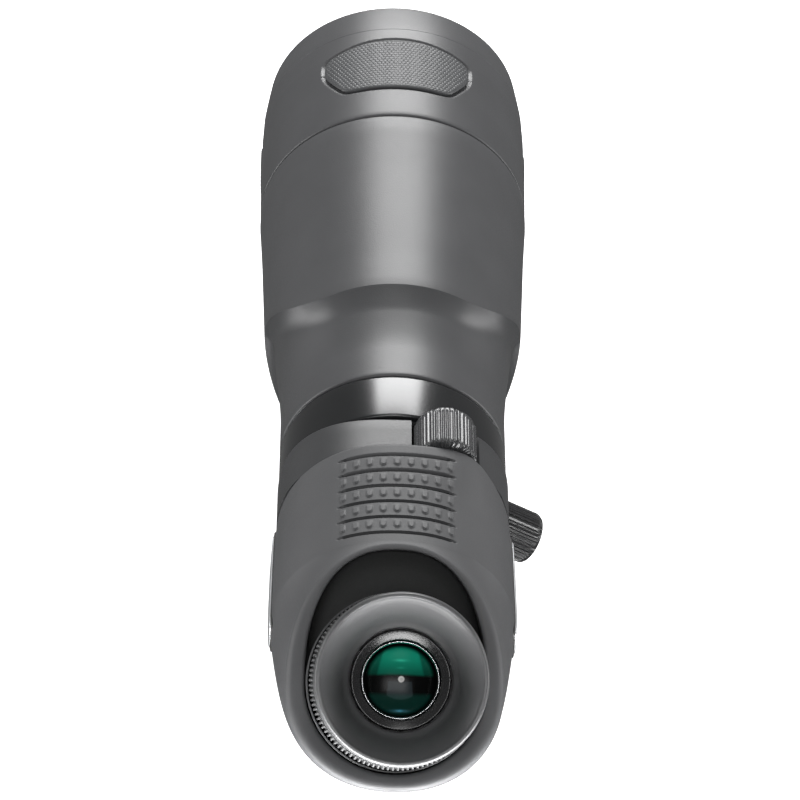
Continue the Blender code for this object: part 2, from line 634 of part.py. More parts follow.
def make_eyecup():
    tube("eyecup_guide_ring", EYE_FRAME, 15.3, 17.4, 61.0, 73.0, "brass_part", MEDIUM_ROUND)
    tube("eyecup_sleeve", EYE_FRAME, 17.8, 20.7, 60.0, 89.4, "knob_plastic")
    rubber = (
        (21.3, CUP_FRONT), (22.3, CUP_FRONT), (CUP_RADIUS, CUP_FRONT - 1.4), (CUP_RADIUS, CUP_REAR + 0.6),
        (CUP_RADIUS - 0.5, CUP_REAR), (21.0, CUP_REAR), (21.0, 89.8), (17.6, 89.8), (15.2, 84.9),
        (13.8, 84.9), (13.8, 86.2), (16.6, 90.0), (19.2, 94.0), (20.7, 97.2),
    )
    turned("eyecup_rubber", EYE_FRAME, rubber, LARGE_ROUND, "eyecup_rubber")


def main():
    clear_scene()
    collar = make_collar()
    make_foot(collar)
    make_lock()
    barrel = make_barrel()
    make_objective()
    make_sunshade()
    make_housing(barrel)
    make_badges()
    make_prisms()
    make_focus()
    make_eyepiece()
    make_eyecup()


main()
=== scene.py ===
"""Looks of the angled spotting scope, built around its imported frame.

Lengths are in millimetres while a shape is worked out and become metres when its
mesh is made. Barrel places are (right, forward, up) from the barrel axis at the
collar's middle; eyepiece places are along the eyepiece's own axis.
"""

import json
import math

import bmesh
import bpy
import numpy as np
from mathutils import Matrix, Vector


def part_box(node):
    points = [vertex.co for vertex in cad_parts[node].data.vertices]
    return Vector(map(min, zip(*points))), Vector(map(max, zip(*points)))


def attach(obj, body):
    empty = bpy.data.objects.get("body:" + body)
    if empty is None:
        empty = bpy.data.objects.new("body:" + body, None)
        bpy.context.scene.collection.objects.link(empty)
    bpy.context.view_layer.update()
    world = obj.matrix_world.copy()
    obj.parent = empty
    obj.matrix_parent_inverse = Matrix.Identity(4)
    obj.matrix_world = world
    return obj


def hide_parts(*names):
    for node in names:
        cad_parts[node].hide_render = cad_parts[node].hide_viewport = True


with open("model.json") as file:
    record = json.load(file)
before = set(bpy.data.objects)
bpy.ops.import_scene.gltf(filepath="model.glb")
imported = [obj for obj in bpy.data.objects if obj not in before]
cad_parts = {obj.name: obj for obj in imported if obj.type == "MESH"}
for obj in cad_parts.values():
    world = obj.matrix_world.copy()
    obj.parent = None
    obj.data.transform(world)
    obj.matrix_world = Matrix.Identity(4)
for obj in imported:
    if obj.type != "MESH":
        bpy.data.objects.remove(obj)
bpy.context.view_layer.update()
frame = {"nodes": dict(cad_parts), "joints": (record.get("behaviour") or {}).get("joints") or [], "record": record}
MM = 0.001

# --- places

JOINTS = {joint["name"]: joint for joint in frame["joints"]}


def joint_frame(name, direction=None, side=(1.0, 0.0, 0.0)):
    """Frame at a joint: Z along its axis or a given direction, X towards side."""
    z = Vector(direction or JOINTS[name]["axis"]).normalized()
    x = (Vector(side) - Vector(side).dot(z) * z).normalized()
    turn = Matrix((x, z.cross(x), z)).transposed().to_4x4()
    return Matrix.Translation(Vector(JOINTS[name]["pos_m"])) @ turn


AXIS_HEIGHT = JOINTS["collar_turn"]["pos_m"][2] / MM
BARREL = joint_frame("collar_turn", (0, 1, 0))
PLAIN = Matrix.Translation((0.0, 0.0, AXIS_HEIGHT * MM))
FOCUS = joint_frame("focus_turn", (0, 1, 0))
FOCUS_X = FOCUS.translation.x / MM
FOCUS_Z = FOCUS.translation.z / MM - AXIS_HEIGHT
EYE = joint_frame("zoom_turn")
LOCK = joint_frame("lock_turn", side=(0, 1, 0))
EYE_ANGLE = math.asin(JOINTS["zoom_turn"]["axis"][2])
EYE_CROSSING = JOINTS["zoom_turn"]["pos_m"][1] / MM

ARMOR_REAR, SEAM = [corner.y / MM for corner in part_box("barrel_armor")]
COLLAR_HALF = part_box("collar_liner")[1].y / MM
HOUSING_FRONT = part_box("rear_armor")[1].y / MM
NECK_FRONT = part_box("prism_housing")[1].y / MM
BEZEL_REAR, BEZEL_FRONT = [corner.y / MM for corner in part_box("sunshade_bezel")]
FOOT_LOW, FOOT_HIGH = [Vector(corner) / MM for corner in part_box("foot_plate")]

COLLAR_RADIUS = 34.3
NECK_SECTION = (34.6, 33.6, 33.5)
NECK_POWER = 2.6
PAD_RADIUS = 43.7

# --- materials


DRIFT_SCALE = 60.0      # colour drift, in cells per metre
GRAIN_SCALE = 2600.0    # grain, in cells per metre
GRAIN_DEPTH = 0.0001    # in metres


def node_material(name, base, roughness, metallic=0.0):
    """A new Principled material and the tools to extend it."""
    made = bpy.data.materials.new(name)
    made.use_nodes = True
    nodes, links = made.node_tree.nodes, made.node_tree.links
    shader = nodes["Principled BSDF"]
    set_inputs(shader, {"Base Color": (*base, 1.0), "Roughness": roughness, "Metallic": metallic})
    return made, nodes, links, shader


def set_inputs(node, values):
    """Set a node's unlinked sockets by name."""
    for socket, value in values.items():
        node.inputs[socket].default_value = value


def noise_node(nodes, links, scale, detail):
    """Noise in object space, in cells per metre."""
    place = nodes.new("ShaderNodeTexCoord")
    noise = nodes.new("ShaderNodeTexNoise")
    set_inputs(noise, {"Scale": scale, "Detail": detail})
    links.new(place.outputs["Object"], noise.inputs["Vector"])
    return noise.outputs["Fac"]


def ramp_between(nodes, links, source, low, high):
    """Spread a 0.3 to 0.7 noise value between two values."""
    ramp = nodes.new("ShaderNodeMapRange")
    set_inputs(ramp, {"From Min": 0.3, "From Max": 0.7, "To Min": low, "To Max": high})
    links.new(source, ramp.inputs["Value"])
    return ramp.outputs["Result"]


def mix_colours(nodes, links, factor, low, high):
    """Blend two colours by a factor."""
    mix = nodes.new("ShaderNodeMix")
    mix.data_type = "RGBA"
    links.new(factor, mix.inputs["Factor"])
    set_inputs(mix, {"A": (*low, 1.0), "B": (*high, 1.0)})
    return mix.outputs["Result"]


def surface(name, base, roughness, metallic=0.0, shade=0.08, wear=0.05, grain=0.0, coat=0.0,
            coat_roughness=0.2):
    """A finish with soft colour drift, uneven gloss and a fine grain."""
    made, nodes, links, shader = node_material(name, base, roughness, metallic)
    set_inputs(shader, {"Coat Weight": coat, "Coat Roughness": coat_roughness})
    drift = ramp_between(nodes, links, noise_node(nodes, links, DRIFT_SCALE, 3.0), 0.0, 1.0)
    dark = [channel * (1.0 - shade) for channel in base]
    light = [channel * (1.0 + shade) for channel in base]
    links.new(mix_colours(nodes, links, drift, dark, light), shader.inputs["Base Color"])
    fine = noise_node(nodes, links, GRAIN_SCALE, 2.0)
    gloss = ramp_between(nodes, links, fine, roughness - wear, roughness + wear)
    links.new(gloss, shader.inputs["Roughness"])
    if grain > 0.0:
        bump = nodes.new("ShaderNodeBump")
        set_inputs(bump, {"Strength": grain, "Distance": GRAIN_DEPTH})
        links.new(fine, bump.inputs["Height"])
        links.new(bump.outputs["Normal"], shader.inputs["Normal"])
    return made


def painted(name, roughness, specular):
    """A finish whose colour comes from the piece's own colour attribute, here painted reflections."""
    made, nodes, links, shader = node_material(name, (0.1, 0.1, 0.1), roughness)
    set_inputs(shader, {"Specular IOR Level": specular})
    colour = nodes.new("ShaderNodeAttribute")
    colour.attribute_name = "paint"
    links.new(colour.outputs["Color"], shader.inputs["Base Color"])
    fine = noise_node(nodes, links, 900.0, 1.0)
    gloss = ramp_between(nodes, links, fine, roughness * 0.9, roughness * 1.1)
    links.new(gloss, shader.inputs["Roughness"])
    return made


def glass_finish(name, tint):
    """Coated glass, dark inside, with a painted green sheen on its surface towards glancing angles."""
    made, nodes, links, shader = node_material(name, tint, 0.05)
    set_inputs(shader, {"Specular IOR Level": 0.8, "Coat Weight": 0.6, "Coat Roughness": 0.03})
    gloss = ramp_between(nodes, links, noise_node(nodes, links, 40.0, 2.0), 0.03, 0.07)
    links.new(gloss, shader.inputs["Roughness"])
    # the colour goes from dark face-on to green at glancing angles: a painted sheen
    facing = nodes.new("ShaderNodeLayerWeight")
    set_inputs(facing, {"Blend": 0.35})
    dark = [channel * 0.35 for channel in tint]
    painted_sheen = mix_colours(nodes, links, facing.outputs["Facing"], dark, tint)
    links.new(painted_sheen, shader.inputs["Base Color"])
    return made


FINISH = {
    "armor": surface("armor_rubber", (0.074, 0.075, 0.078), 0.4, grain=0.35, shade=0.05),
    "rear": surface("rear_armor_rubber", (0.078, 0.079, 0.082), 0.58, grain=0.35, shade=0.05),
    "pad": surface("pad_rubber", (0.072, 0.074, 0.077), 0.45, grain=0.3, shade=0.06),
    "eyecup": surface("eyecup_rubber", (0.08, 0.081, 0.083), 0.36, grain=0.2, shade=0.04),
    "grip": surface("grip_rubber", (0.035, 0.036, 0.037), 0.5, grain=0.4, shade=0.1),
    # painted shade: a near-black finish for groove bottoms and the eyepiece pocket, where shade falls
    "painted_shade": surface("near_black_painted_shade", (0.018, 0.019, 0.019), 0.6, grain=0.3, shade=0.08),
    "neck": surface("neck_coating", (0.045, 0.046, 0.048), 0.42, grain=0.3, shade=0.05),
    "anodised": surface("black_anodised", (0.022, 0.023, 0.024), 0.22, metallic=0.3, shade=0.1,
                        wear=0.04, coat=0.4, coat_roughness=0.25),
    "inner_metal": surface("black_inner_metal", (0.02, 0.02, 0.021), 0.5, metallic=0.4, shade=0.15),
    "alloy": surface("grey_alloy", (0.1, 0.102, 0.105), 0.45, metallic=0.8, shade=0.08, grain=0.15),
    "steel": surface("turned_steel", (0.56, 0.56, 0.57), 0.28, metallic=1.0, shade=0.06, grain=0.1),
    "silver": surface("bright_ring", (0.82, 0.83, 0.85), 0.2, metallic=1.0, shade=0.03),
    "brass": surface("brass", (0.55, 0.4, 0.16), 0.32, metallic=1.0, shade=0.1, grain=0.1),
    "knob": surface("knob_plastic", (0.055, 0.056, 0.058), 0.26, shade=0.1, wear=0.05, coat=0.3),
    # a darker copy of the knob plastic: painted shade for the lock knob on the shaded side
    "knob_painted_shade": surface("knob_painted_shade", (0.02, 0.02, 0.021), 0.36, shade=0.1, wear=0.05, coat=0.1),
    "cell": surface("gloss_black", (0.016, 0.016, 0.017), 0.28, shade=0.1, wear=0.03, coat=0.6,
                    coat_roughness=0.25),
    "badge": surface("badge_silver", (0.6, 0.61, 0.62), 0.35, metallic=0.6, shade=0.05),
    "badge_edge": surface("badge_edge", (0.02, 0.02, 0.02), 0.5, shade=0.1),
    "glass": glass_finish("coated_glass", (0.05, 0.16, 0.11)),
    # painted reflections of the coated eye lens, held in its colour attribute
    "lens": painted("eye_lens_painted_reflections", 0.2, 0.1),
}

CAD_FINISH = {
    "armor": "armor", "dark_rubber": "pad", "eyecup": "eyecup", "anodised": "inner_metal",
    "casting": "alloy", "steel": "steel", "brass": "brass", "knob": "knob", "optic": "glass",
    "silver": "silver", "badge": "badge",
}


def dress_cad_nodes():
    """Give each CAD node that stays in view the finish of its record slot."""
    slots = {row["node"]: row["material_slot"] for row in frame["record"]["subparts"]}
    for name, node in frame["nodes"].items():
        node.data.materials.clear()
        node.data.materials.append(FINISH[CAD_FINISH[slots[name]]])


# --- mesh tools


def add_object(name, data):
    """A new object in the scene."""
    made = bpy.data.objects.new(name, data)
    bpy.context.scene.collection.objects.link(made)
    return made


def make_piece(name, points, faces, place, finish, body, stands_for=(), slot=None, sharp=50.0):
    """A named object from points in millimetres in the given frame."""
    mesh = bpy.data.meshes.new(name)
    mesh.from_pydata((np.asarray(points) * MM).tolist(), [], faces)
    mesh.validate()
    shape = bmesh.new()
    shape.from_mesh(mesh)
    bmesh.ops.recalc_face_normals(shape, faces=shape.faces)
    shape.to_mesh(mesh)
    shape.free()
    mesh.transform(place)
    mesh.shade_smooth()
    mesh.set_sharp_from_angle(angle=math.radians(sharp))
    piece = add_object(name, mesh)
    mesh.materials.append(FINISH[finish])
    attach(piece, body)
    if stands_for:
        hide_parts(*stands_for)
    return piece


def ring_faces(rows, columns, closed=True):
    """Faces of a grid of rings; a closed one joins its last ring to its first."""
    faces = []
    for row in range(rows if closed else rows - 1):
        after = (row + 1) % rows
        for column in range(columns):
            beside = (column + 1) % columns
            faces.append((row * columns + column, row * columns + beside,
                          after * columns + beside, after * columns + column))
    return faces


def closed_grid(name, grid, place, finish, body, **more):
    """A piece from a (rows, columns, 3) grid that closes both ways."""
    faces = ring_faces(*grid.shape[:2])
    return make_piece(name, grid.reshape(-1, 3), faces, place, finish, body, **more)


def bend(start, corner, end, t):
    """A point of the curve that rounds a corner."""
    return (1 - t) ** 2 * start + 2 * t * (1 - t) * corner + t * t * end


def soften(outline, steps=5):
    """Round a closed outline of (a, b, fillet) corners with smooth curves."""
    made = []
    for index, corner in enumerate(outline):
        here = np.array(corner[:2], float)
        fillet = corner[2] if len(corner) > 2 else 0.0
        if fillet <= 0.0:
            made.append(here)
            continue
        ends = []
        for beside in (outline[index - 1], outline[(index + 1) % len(outline)]):
            towards = np.array(beside[:2], float) - here
            length = np.linalg.norm(towards)
            ends.append(here + towards / length * min(fillet, 0.48 * length))
        made += [bend(ends[0], here, ends[1], step / steps) for step in range(steps + 1)]
    return made


def revolve(name, outline, place, finish, body, segments=160, steps=5, ripple=None, **more):
    """Turn a closed, softened (radius, height, fillet) outline about Z.

    ripple(angle, radius, height) gives a radius for each point.
    """
    outline = soften(outline, steps)
    angles = np.linspace(0.0, 2.0 * math.pi, segments, endpoint=False)
    points, rings = [], []
    for radius, height in outline:
        if radius < 1e-6:
            rings.append([len(points)])
            points.append((0.0, 0.0, height))
            continue
        reach = np.full(segments, radius) if ripple is None else ripple(angles, radius, height)
        rings.append(list(range(len(points), len(points) + segments)))
        points += [(r * math.cos(a), r * math.sin(a), height) for r, a in zip(reach, angles)]
    faces = []
    for index, ring in enumerate(rings):
        following = rings[(index + 1) % len(rings)]
        if len(ring) == 1 and len(following) == 1:
            continue
        for step in range(segments):
            after = (step + 1) % segments
            if len(ring) == 1:
                faces.append((ring[0], following[after], following[step]))
            elif len(following) == 1:
                faces.append((ring[step], ring[after], following[0]))
            else:
                faces.append((ring[step], ring[after], following[after], following[step]))
    return make_piece(name, points, faces, place, finish, body, **more)


def smoothstep(low, high, value):
    t = np.clip((value - low) / (high - low), 0.0, 1.0)
    return t * t * (3.0 - 2.0 * t)


def quarter(steps):
    """Pairs of 1 - cosine and sine over a quarter turn, for a rounded edge."""
    return [(1.0 - math.cos(turn), math.sin(turn)) for turn in np.linspace(0.0, math.pi / 2.0, steps)]


def around(radius, angle, forward):
    """Barrel points from a radius, an angle from the top towards the right, and a place."""
    radius, angle, forward = np.broadcast_arrays(radius, angle, forward)
    return np.stack([radius * np.sin(angle), forward, radius * np.cos(angle)], axis=-1)


# --- barrel

LEDGE_TOP = 45.0       # where the raised armour ends on top
LEDGE_SIDE = 67.0      # and at the sides
CONE_START = 22.0      # where the neck starts to widen
COVE_LENGTH = 8.0      # the hollow that runs up to the step


def ledge_place(angle):
    """Forward place of the armour's step, which sweeps forward at the sides."""
    side = np.abs((angle + math.pi) % (2.0 * math.pi) - math.pi)
    side = np.minimum(side, math.pi - side)
    sweep = smoothstep(math.radians(30.0), math.radians(100.0), side)
    return LEDGE_TOP + (LEDGE_SIDE - LEDGE_TOP) * sweep


def body_radius(forward):
    """Radius of the raised part of the barrel armour."""
    places = (45.0, 60.0, 80.0, 100.0, 112.0, 118.0, SEAM)
    radii = (39.6, 40.1, 41.0, 41.9, 42.6, 43.0, 43.0)
    return np.interp(forward, places, radii)


def barrel_radius(angle, forward):
    """Outer radius of the barrel armour: neck, cone, cove and raised part."""
    edge = ledge_place(angle)
    rise = smoothstep(CONE_START, edge + 6.0, forward)
    foot = COLLAR_RADIUS + (body_radius(edge) - COLLAR_RADIUS) * 0.55 * rise
    cove = np.clip((forward - (edge - COVE_LENGTH)) / COVE_LENGTH, 0.0, 1.0)
    lower = foot + (body_radius(edge) - foot) * cove ** 2.2
    return np.where(forward >= edge, body_radius(forward), lower)


def make_barrel_armor():
    angles = np.linspace(0.0, 2.0 * math.pi, 256, endpoint=False)
    rear_edge, front_edge, crown_length, crown_depth = 0.8, 0.6, 0.5, 0.12
    bore = 31.4
    rows = [around(bore, angles, ARMOR_REAR)]
    for fall, rise in quarter(5):
        radius = COLLAR_RADIUS - rear_edge * (1.0 - rise)
        rows.append(around(radius, angles, ARMOR_REAR + rear_edge * fall))
    start = ARMOR_REAR + rear_edge
    end = SEAM - front_edge
    edge = ledge_place(angles)
    for share in np.linspace(0.0, 1.0, 46)[1:]:
        forward = start + (edge - 0.02 - start) * share
        rows.append(around(barrel_radius(angles, forward), angles, forward))
    for share in np.linspace(0.0, 1.0, 40):
        forward = edge + (end - edge) * share
        lift = 1.0 - np.clip((forward - edge) / crown_length, 0.0, 1.0)
        rows.append(around(body_radius(forward) - crown_depth * lift ** 2, angles, forward))
    for fall, rise in quarter(4)[1:]:
        rows.append(around(body_radius(SEAM) - front_edge * fall, angles, end + front_edge * rise))
    for radius, forward in ((39.75, SEAM), (39.75, 112.0), (37.2, 63.0), (bore, 36.0)):
        rows.append(around(radius, angles, forward))
    closed_grid("barrel_armor_skin", np.array(rows), PLAIN, "armor", "scope_body",
                stands_for=("barrel_armor",), slot="armor")


# --- sunshade

PAD_ANGLES = {"top": 0.0, "right": 120.0, "left": 240.0}
PAD_REAR = 138.3
PAD_FRONT = 163.3
PAD_HALF = 25.2
PAD_REAR_HALF = 17.3
PAD_FLANK_SLOPE = 0.6944
PAD_CORNER = 1.1        # how softly the pad's sides run into each other


def pad_distance(across, forward):
    """Signed distance-like value of a grip pad's outline, negative inside.

    across runs round the sunshade from the pad's middle line.
    """
    side = np.abs(across)
    arch = PAD_FRONT - 0.0052 * side ** 2.15 - forward
    rear = forward - PAD_REAR
    flank = (PAD_REAR_HALF + rear * PAD_FLANK_SLOPE - side) / math.hypot(1.0, 0.69)
    limits = np.stack(np.broadcast_arrays(arch, rear, flank, PAD_HALF - side))
    return PAD_CORNER * np.log(np.sum(np.exp(-limits / PAD_CORNER), axis=0))


def shade_radius(forward):
    """Radius of the sunshade's rubber skin without its pad recesses."""
    places = (SEAM, 128.0, 140.0, 160.0, BEZEL_REAR)
    radii = (43.0, 43.1, 43.3, 43.3, 43.0)
    return np.interp(forward, places, radii)


def make_sunshade_armor():
    dense = np.radians(np.linspace(-38.0, 38.0, 121))
    angles = np.concatenate([dense + math.radians(turn) for turn in PAD_ANGLES.values()])
    gaps = [np.radians(np.linspace(38.0, 82.0, 24)[1:-1] + turn) for turn in PAD_ANGLES.values()]
    angles = np.sort(np.concatenate([angles, *gaps]) % (2.0 * math.pi))
    start = SEAM + 0.4
    places = np.concatenate([np.linspace(start + 0.6, 135.5, 8), np.linspace(136.0, 165.5, 90),
                             np.linspace(166.0, BEZEL_REAR - 0.05, 5)])
    rows = []
    edge, low = 0.6, 41.5
    rows.append(around(low, angles, start))
    for fall, rise in quarter(4)[:-1]:
        rows.append(around(shade_radius(SEAM) - edge * (1.0 - rise), angles, start + edge * fall))
    third = 2.0 * math.pi / 3.0
    nearest = (angles + third / 2.0) % third - third / 2.0
    for forward in places:
        across = nearest * PAD_RADIUS
        depth = smoothstep(1.15, 0.6, pad_distance(across, forward))
        rows.append(around(shade_radius(forward) - 0.95 * depth, angles, forward))
    rows.append(around(low, angles, BEZEL_REAR - 0.05))
    closed_grid("sunshade_armor_skin", np.array(rows), PLAIN, "armor", "sunshade",
                stands_for=("sunshade_armor",), slot="armor", sharp=60.0)


def hex_relief(across, forward, pitch):
    """Height from 0 to 1 of a field of small hexagonal studs."""
    row_height = pitch * math.sqrt(3.0)
    best = np.full(across.shape, 1e9)
    for shift_a, shift_f in ((0.0, 0.0), (0.5 * pitch, 0.5 * row_height)):
        da = (across - shift_a + pitch / 2.0) % pitch - pitch / 2.0
        df = (forward - shift_f + row_height / 2.0) % row_height - row_height / 2.0
        far = np.maximum(np.abs(da), 0.5 * np.abs(da) + 0.866 * np.abs(df))
        best = np.minimum(best, far)
    return smoothstep(pitch * 0.5, pitch * 0.36, best)


def make_pad(name, turn):
    """A grip pad with a raised hexagonal texture."""
    columns, rows = 300, 150
    across, forward = np.meshgrid(np.linspace(-26.0, 26.0, columns),
                                  np.linspace(PAD_REAR - 0.8, PAD_FRONT + 0.5, rows))
    inside = pad_distance(across, forward)
    # cells that lie outside the outline are left out
    keep = inside < 0.05
    relief = hex_relief(across, forward, 1.35) * smoothstep(-0.5, -0.9, inside)
    crown = smoothstep(0.05, -0.45, inside)
    radius = PAD_RADIUS - 0.55 + 0.35 * crown + 0.16 * relief
    angle = across / PAD_RADIUS + math.radians(turn)
    top = around(radius, angle, forward)
    base = around(42.5, angle, forward)
    cells = keep[:-1, :-1] & keep[1:, :-1] & keep[:-1, 1:] & keep[1:, 1:]
    numbers = np.arange(rows * columns).reshape(rows, columns)
    shift = rows * columns
    faces = []
    for row, column in np.argwhere(cells):
        a, b = numbers[row, column], numbers[row, column + 1]
        c, d = numbers[row + 1, column + 1], numbers[row + 1, column]
        faces.append((a, b, c, d))
    edges = {}
    for face in faces:
        for first, second in zip(face, face[1:] + face[:1]):
            key = (min(first, second), max(first, second))
            edges[key] = None if key in edges else (first, second)
    rim = [pair for pair in edges.values() if pair is not None]
    walls = [(second, first, first + shift, second + shift) for first, second in rim]
    points = np.concatenate([top.reshape(-1, 3), base.reshape(-1, 3)])
    used = sorted({number for face in faces + walls for number in face})
    place = {number: index for index, number in enumerate(used)}
    faces = [tuple(place[number] for number in face) for face in faces + walls]
    make_piece(name + "_skin", points[used], faces, PLAIN, "pad", "sunshade",
               stands_for=(name,), slot="dark_rubber", sharp=65.0)


def make_sunshade():
    make_sunshade_armor()
    for place, turn in PAD_ANGLES.items():
        make_pad("sunshade_pad_" + place, turn)
    bezel = (
        (43.0, BEZEL_REAR, 0.3), (42.3, 176.0, 3.0), (41.35, BEZEL_FRONT - 0.5, 0.5),
        (40.6, BEZEL_FRONT, 0.4), (39.7, BEZEL_FRONT - 0.4, 0.3), (39.6, 178.3, 0.2),
        (41.5, 178.3), (41.5, BEZEL_REAR, 0.2),
    )
    revolve("sunshade_bezel_ring", bezel, BARREL, "armor", "sunshade", segments=220,
            stands_for=("sunshade_bezel",), slot="armor")


# --- objective


def bowl(radius, edge_height, bulge, count, flip=False):
    """Outline of one lens face from the axis to the edge or back."""
    points = []
    for step in range(count + 1):
        share = step / count
        points.append((radius * share, edge_height + bulge * (1.0 - share * share)))
    return points[::-1] if flip else points


def lens_outline(radius, start, end, start_bulge, end_bulge):
    return bowl(radius, end, end_bulge, 12) + bowl(radius, start, -start_bulge, 12, flip=True)


def make_objective():
    revolve("objective_front_glass", lens_outline(33.5, 151.9, 156.6, 0.9, 2.6), BARREL, "glass",
            "scope_body", segments=128, stands_for=("objective_front_element",), slot="optic")
    ring = ((33.5, 156.9, 0.2), (33.5, 160.5, 0.3), (32.4, 160.1, 0.3), (32.4, 156.9, 0.2))
    revolve("objective_ring", ring, BARREL, "anodised", "scope_body", segments=128,
            stands_for=("objective_retaining_ring",), slot="anodised")
    grooves = []
    for step in range(10):
        place = 170.4 - step
        grooves += [(33.85, place), (34.35, place - 0.5)]
    cell = ([(37.5, 143.0, 0.3), (37.5, 171.0, 0.3), (33.9, 171.0, 0.2)] + grooves
            + [(33.8, 160.0), (33.8, 146.0), (31.8, 146.0), (31.8, 143.0)])
    revolve("objective_cell_body", cell, BARREL, "inner_metal", "scope_body", segments=128,
            stands_for=("objective_cell",), slot="anodised")
    tube = (
        (39.35, 173.9, 0.3), (39.3, 112.0), (36.6, 62.0), (31.0, 36.0), (31.0, -9.0), (21.0, -9.0),
        (21.0, -6.0), (29.5, -6.0), (29.5, 35.0), (35.1, 61.0), (37.8, 111.0), (37.8, 173.9, 0.3),
    )
    revolve("barrel_tube_body", tube, BARREL, "alloy", "scope_body", segments=160,
            stands_for=("barrel_tube",), slot="casting")
    shade = ((41.2, 125.5), (41.2, 178.0, 0.2), (40.5, 178.0, 0.2), (40.5, 125.5))
    revolve("sunshade_tube_body", shade, BARREL, "alloy", "sunshade", segments=160,
            stands_for=("sunshade_tube",), slot="casting")


# --- tripod collar


def bevelled(piece, width, segments=3):
    bevel = piece.modifiers.new("edges", "BEVEL")
    bevel.width = width * MM
    bevel.segments = segments
    bevel.limit_method = "ANGLE"
    bevel.angle_limit = math.radians(30.0)


def extrude_outline(name, outline, start, end, place, finish, body, **more):
    """A prism from an outline of (x, y) points, run along local Z."""
    count = len(outline)
    points = [(x, y, start) for x, y in outline] + [(x, y, end) for x, y in outline]
    faces = [tuple(range(count)), tuple(range(count, 2 * count))]
    for index in range(count):
        after = (index + 1) % count
        faces.append((index, after, after + count, index + count))
    return make_piece(name, points, faces, place, finish, body, **more)


def rectangle(half_x, half_y, corner, steps=6):
    outline = [(half_x, half_y, corner), (-half_x, half_y, corner),
               (-half_x, -half_y, corner), (half_x, -half_y, corner)]
    return [tuple(point) for point in soften(outline, steps)]


def make_collar():
    half = COLLAR_HALF
    band = ((COLLAR_RADIUS, half, 0.9), (32.3, half, 0.2), (32.3, -half, 0.2), (COLLAR_RADIUS, -half, 0.9))
    revolve("collar_band", band, BARREL, "anodised", "tripod_collar", segments=220,
            stands_for=("collar_ring",), slot="anodised")
    stem = extrude_outline("collar_stem", rectangle(15.0, 8.3, 3.0), FOOT_HIGH.z + 0.3 - AXIS_HEIGHT,
                           -33.4, PLAIN, "anodised", "tripod_collar", slot="anodised")
    bevelled(stem, 0.5)
    boss = ((6.5, 33.0), (6.5, 35.4, 0.6), (3.4, 35.4, 0.2), (3.4, 33.0))
    revolve("collar_boss", boss, LOCK, "anodised", "tripod_collar", segments=72, slot="anodised")


def make_foot():
    half, top = FOOT_HIGH.x, FOOT_HIGH.z
    neck = half - 3.2
    section = [(-half, 0.0), (half, 0.0), (half, 2.5), (neck, 5.7), (neck, top),
               (-neck, top), (-neck, 5.7), (-half, 2.5)]
    turn = Matrix.Rotation(math.radians(-90.0), 4, "X")
    plate = extrude_outline("foot_dovetail", [(x, -z) for x, z in section], FOOT_LOW.y, FOOT_HIGH.y,
                            turn, "anodised", "tripod_collar", stands_for=("foot_plate",),
                            slot="anodised")
    drills = []
    for place in (26.0, -14.0):
        drills.append(cutter_cylinder((0.0, place, -1.0), 5.8, 12.0))
    for side in (-8.0, 8.0):
        drills.append(cutter_cylinder((side, 0.0, -1.0), 3.7, 6.0))
    for drill in drills:
        cut = plate.modifiers.new("hole", "BOOLEAN")
        cut.operation = "DIFFERENCE"
        cut.solver = "EXACT"
        cut.object = drill
    settle(plate, drills)
    bevelled(plate, 0.5, 2)


def cutter_cylinder(base, radius, height, segments=48):
    """A round cutter standing on a place in millimetres."""
    shape = bmesh.new()
    bmesh.ops.create_cone(shape, cap_ends=True, segments=segments, radius1=radius * MM,
                          radius2=radius * MM, depth=height * MM)
    middle = Vector((base[0], base[1], base[2] + height / 2.0)) * MM
    bmesh.ops.translate(shape, verts=shape.verts, vec=middle)
    mesh = bpy.data.meshes.new("cutter")
    shape.to_mesh(mesh)
    shape.free()
    return add_object("cutter", mesh)


def settle(piece, helpers):
    """Apply a piece's modifiers and drop the objects they used."""
    evaluated = piece.evaluated_get(bpy.context.evaluated_depsgraph_get())
    mesh = bpy.data.meshes.new_from_object(evaluated)
    piece.modifiers.clear()
    piece.data = mesh
    for helper in helpers:
        bpy.data.objects.remove(helper, do_unlink=True)


# --- knobs

KNOB_REPEATS = 7
RIB_SPAN = math.radians(29.0)


def knob_ripple(angles, radius, height, outer, panel_front, panel_rear):
    """Grip pattern: fine-ribbed panels with two smooth ridges between them."""
    if radius < outer - 1.6:
        return np.full(angles.shape, radius)
    period = 2.0 * math.pi / KNOB_REPEATS
    local = (angles + period / 2.0) % period - period / 2.0
    in_panel = smoothstep(RIB_SPAN / 2.0 + 0.02, RIB_SPAN / 2.0 - 0.02, np.abs(local))
    ribs = 0.5 + 0.5 * np.cos(local / RIB_SPAN * 2.0 * math.pi * 4.0)
    ends = smoothstep(panel_front, panel_front - 0.8, height)
    ends = ends * smoothstep(panel_rear - 0.8, panel_rear, height)
    gap = (np.abs(local) - RIB_SPAN / 2.0) / (period - RIB_SPAN)
    ridges = np.cos(gap * 4.0 * math.pi) * 0.5 - 0.5
    sink = in_panel * (-0.30 - 0.30 * (1.0 - ribs)) * ends + (1.0 - in_panel) * 0.62 * ridges
    moat = np.exp(-((np.abs(local) - RIB_SPAN / 2.0) / 0.03) ** 2) * -0.35 * ends
    near = smoothstep(outer - 1.6, outer - 0.5, radius)
    return radius + (sink + moat) * near


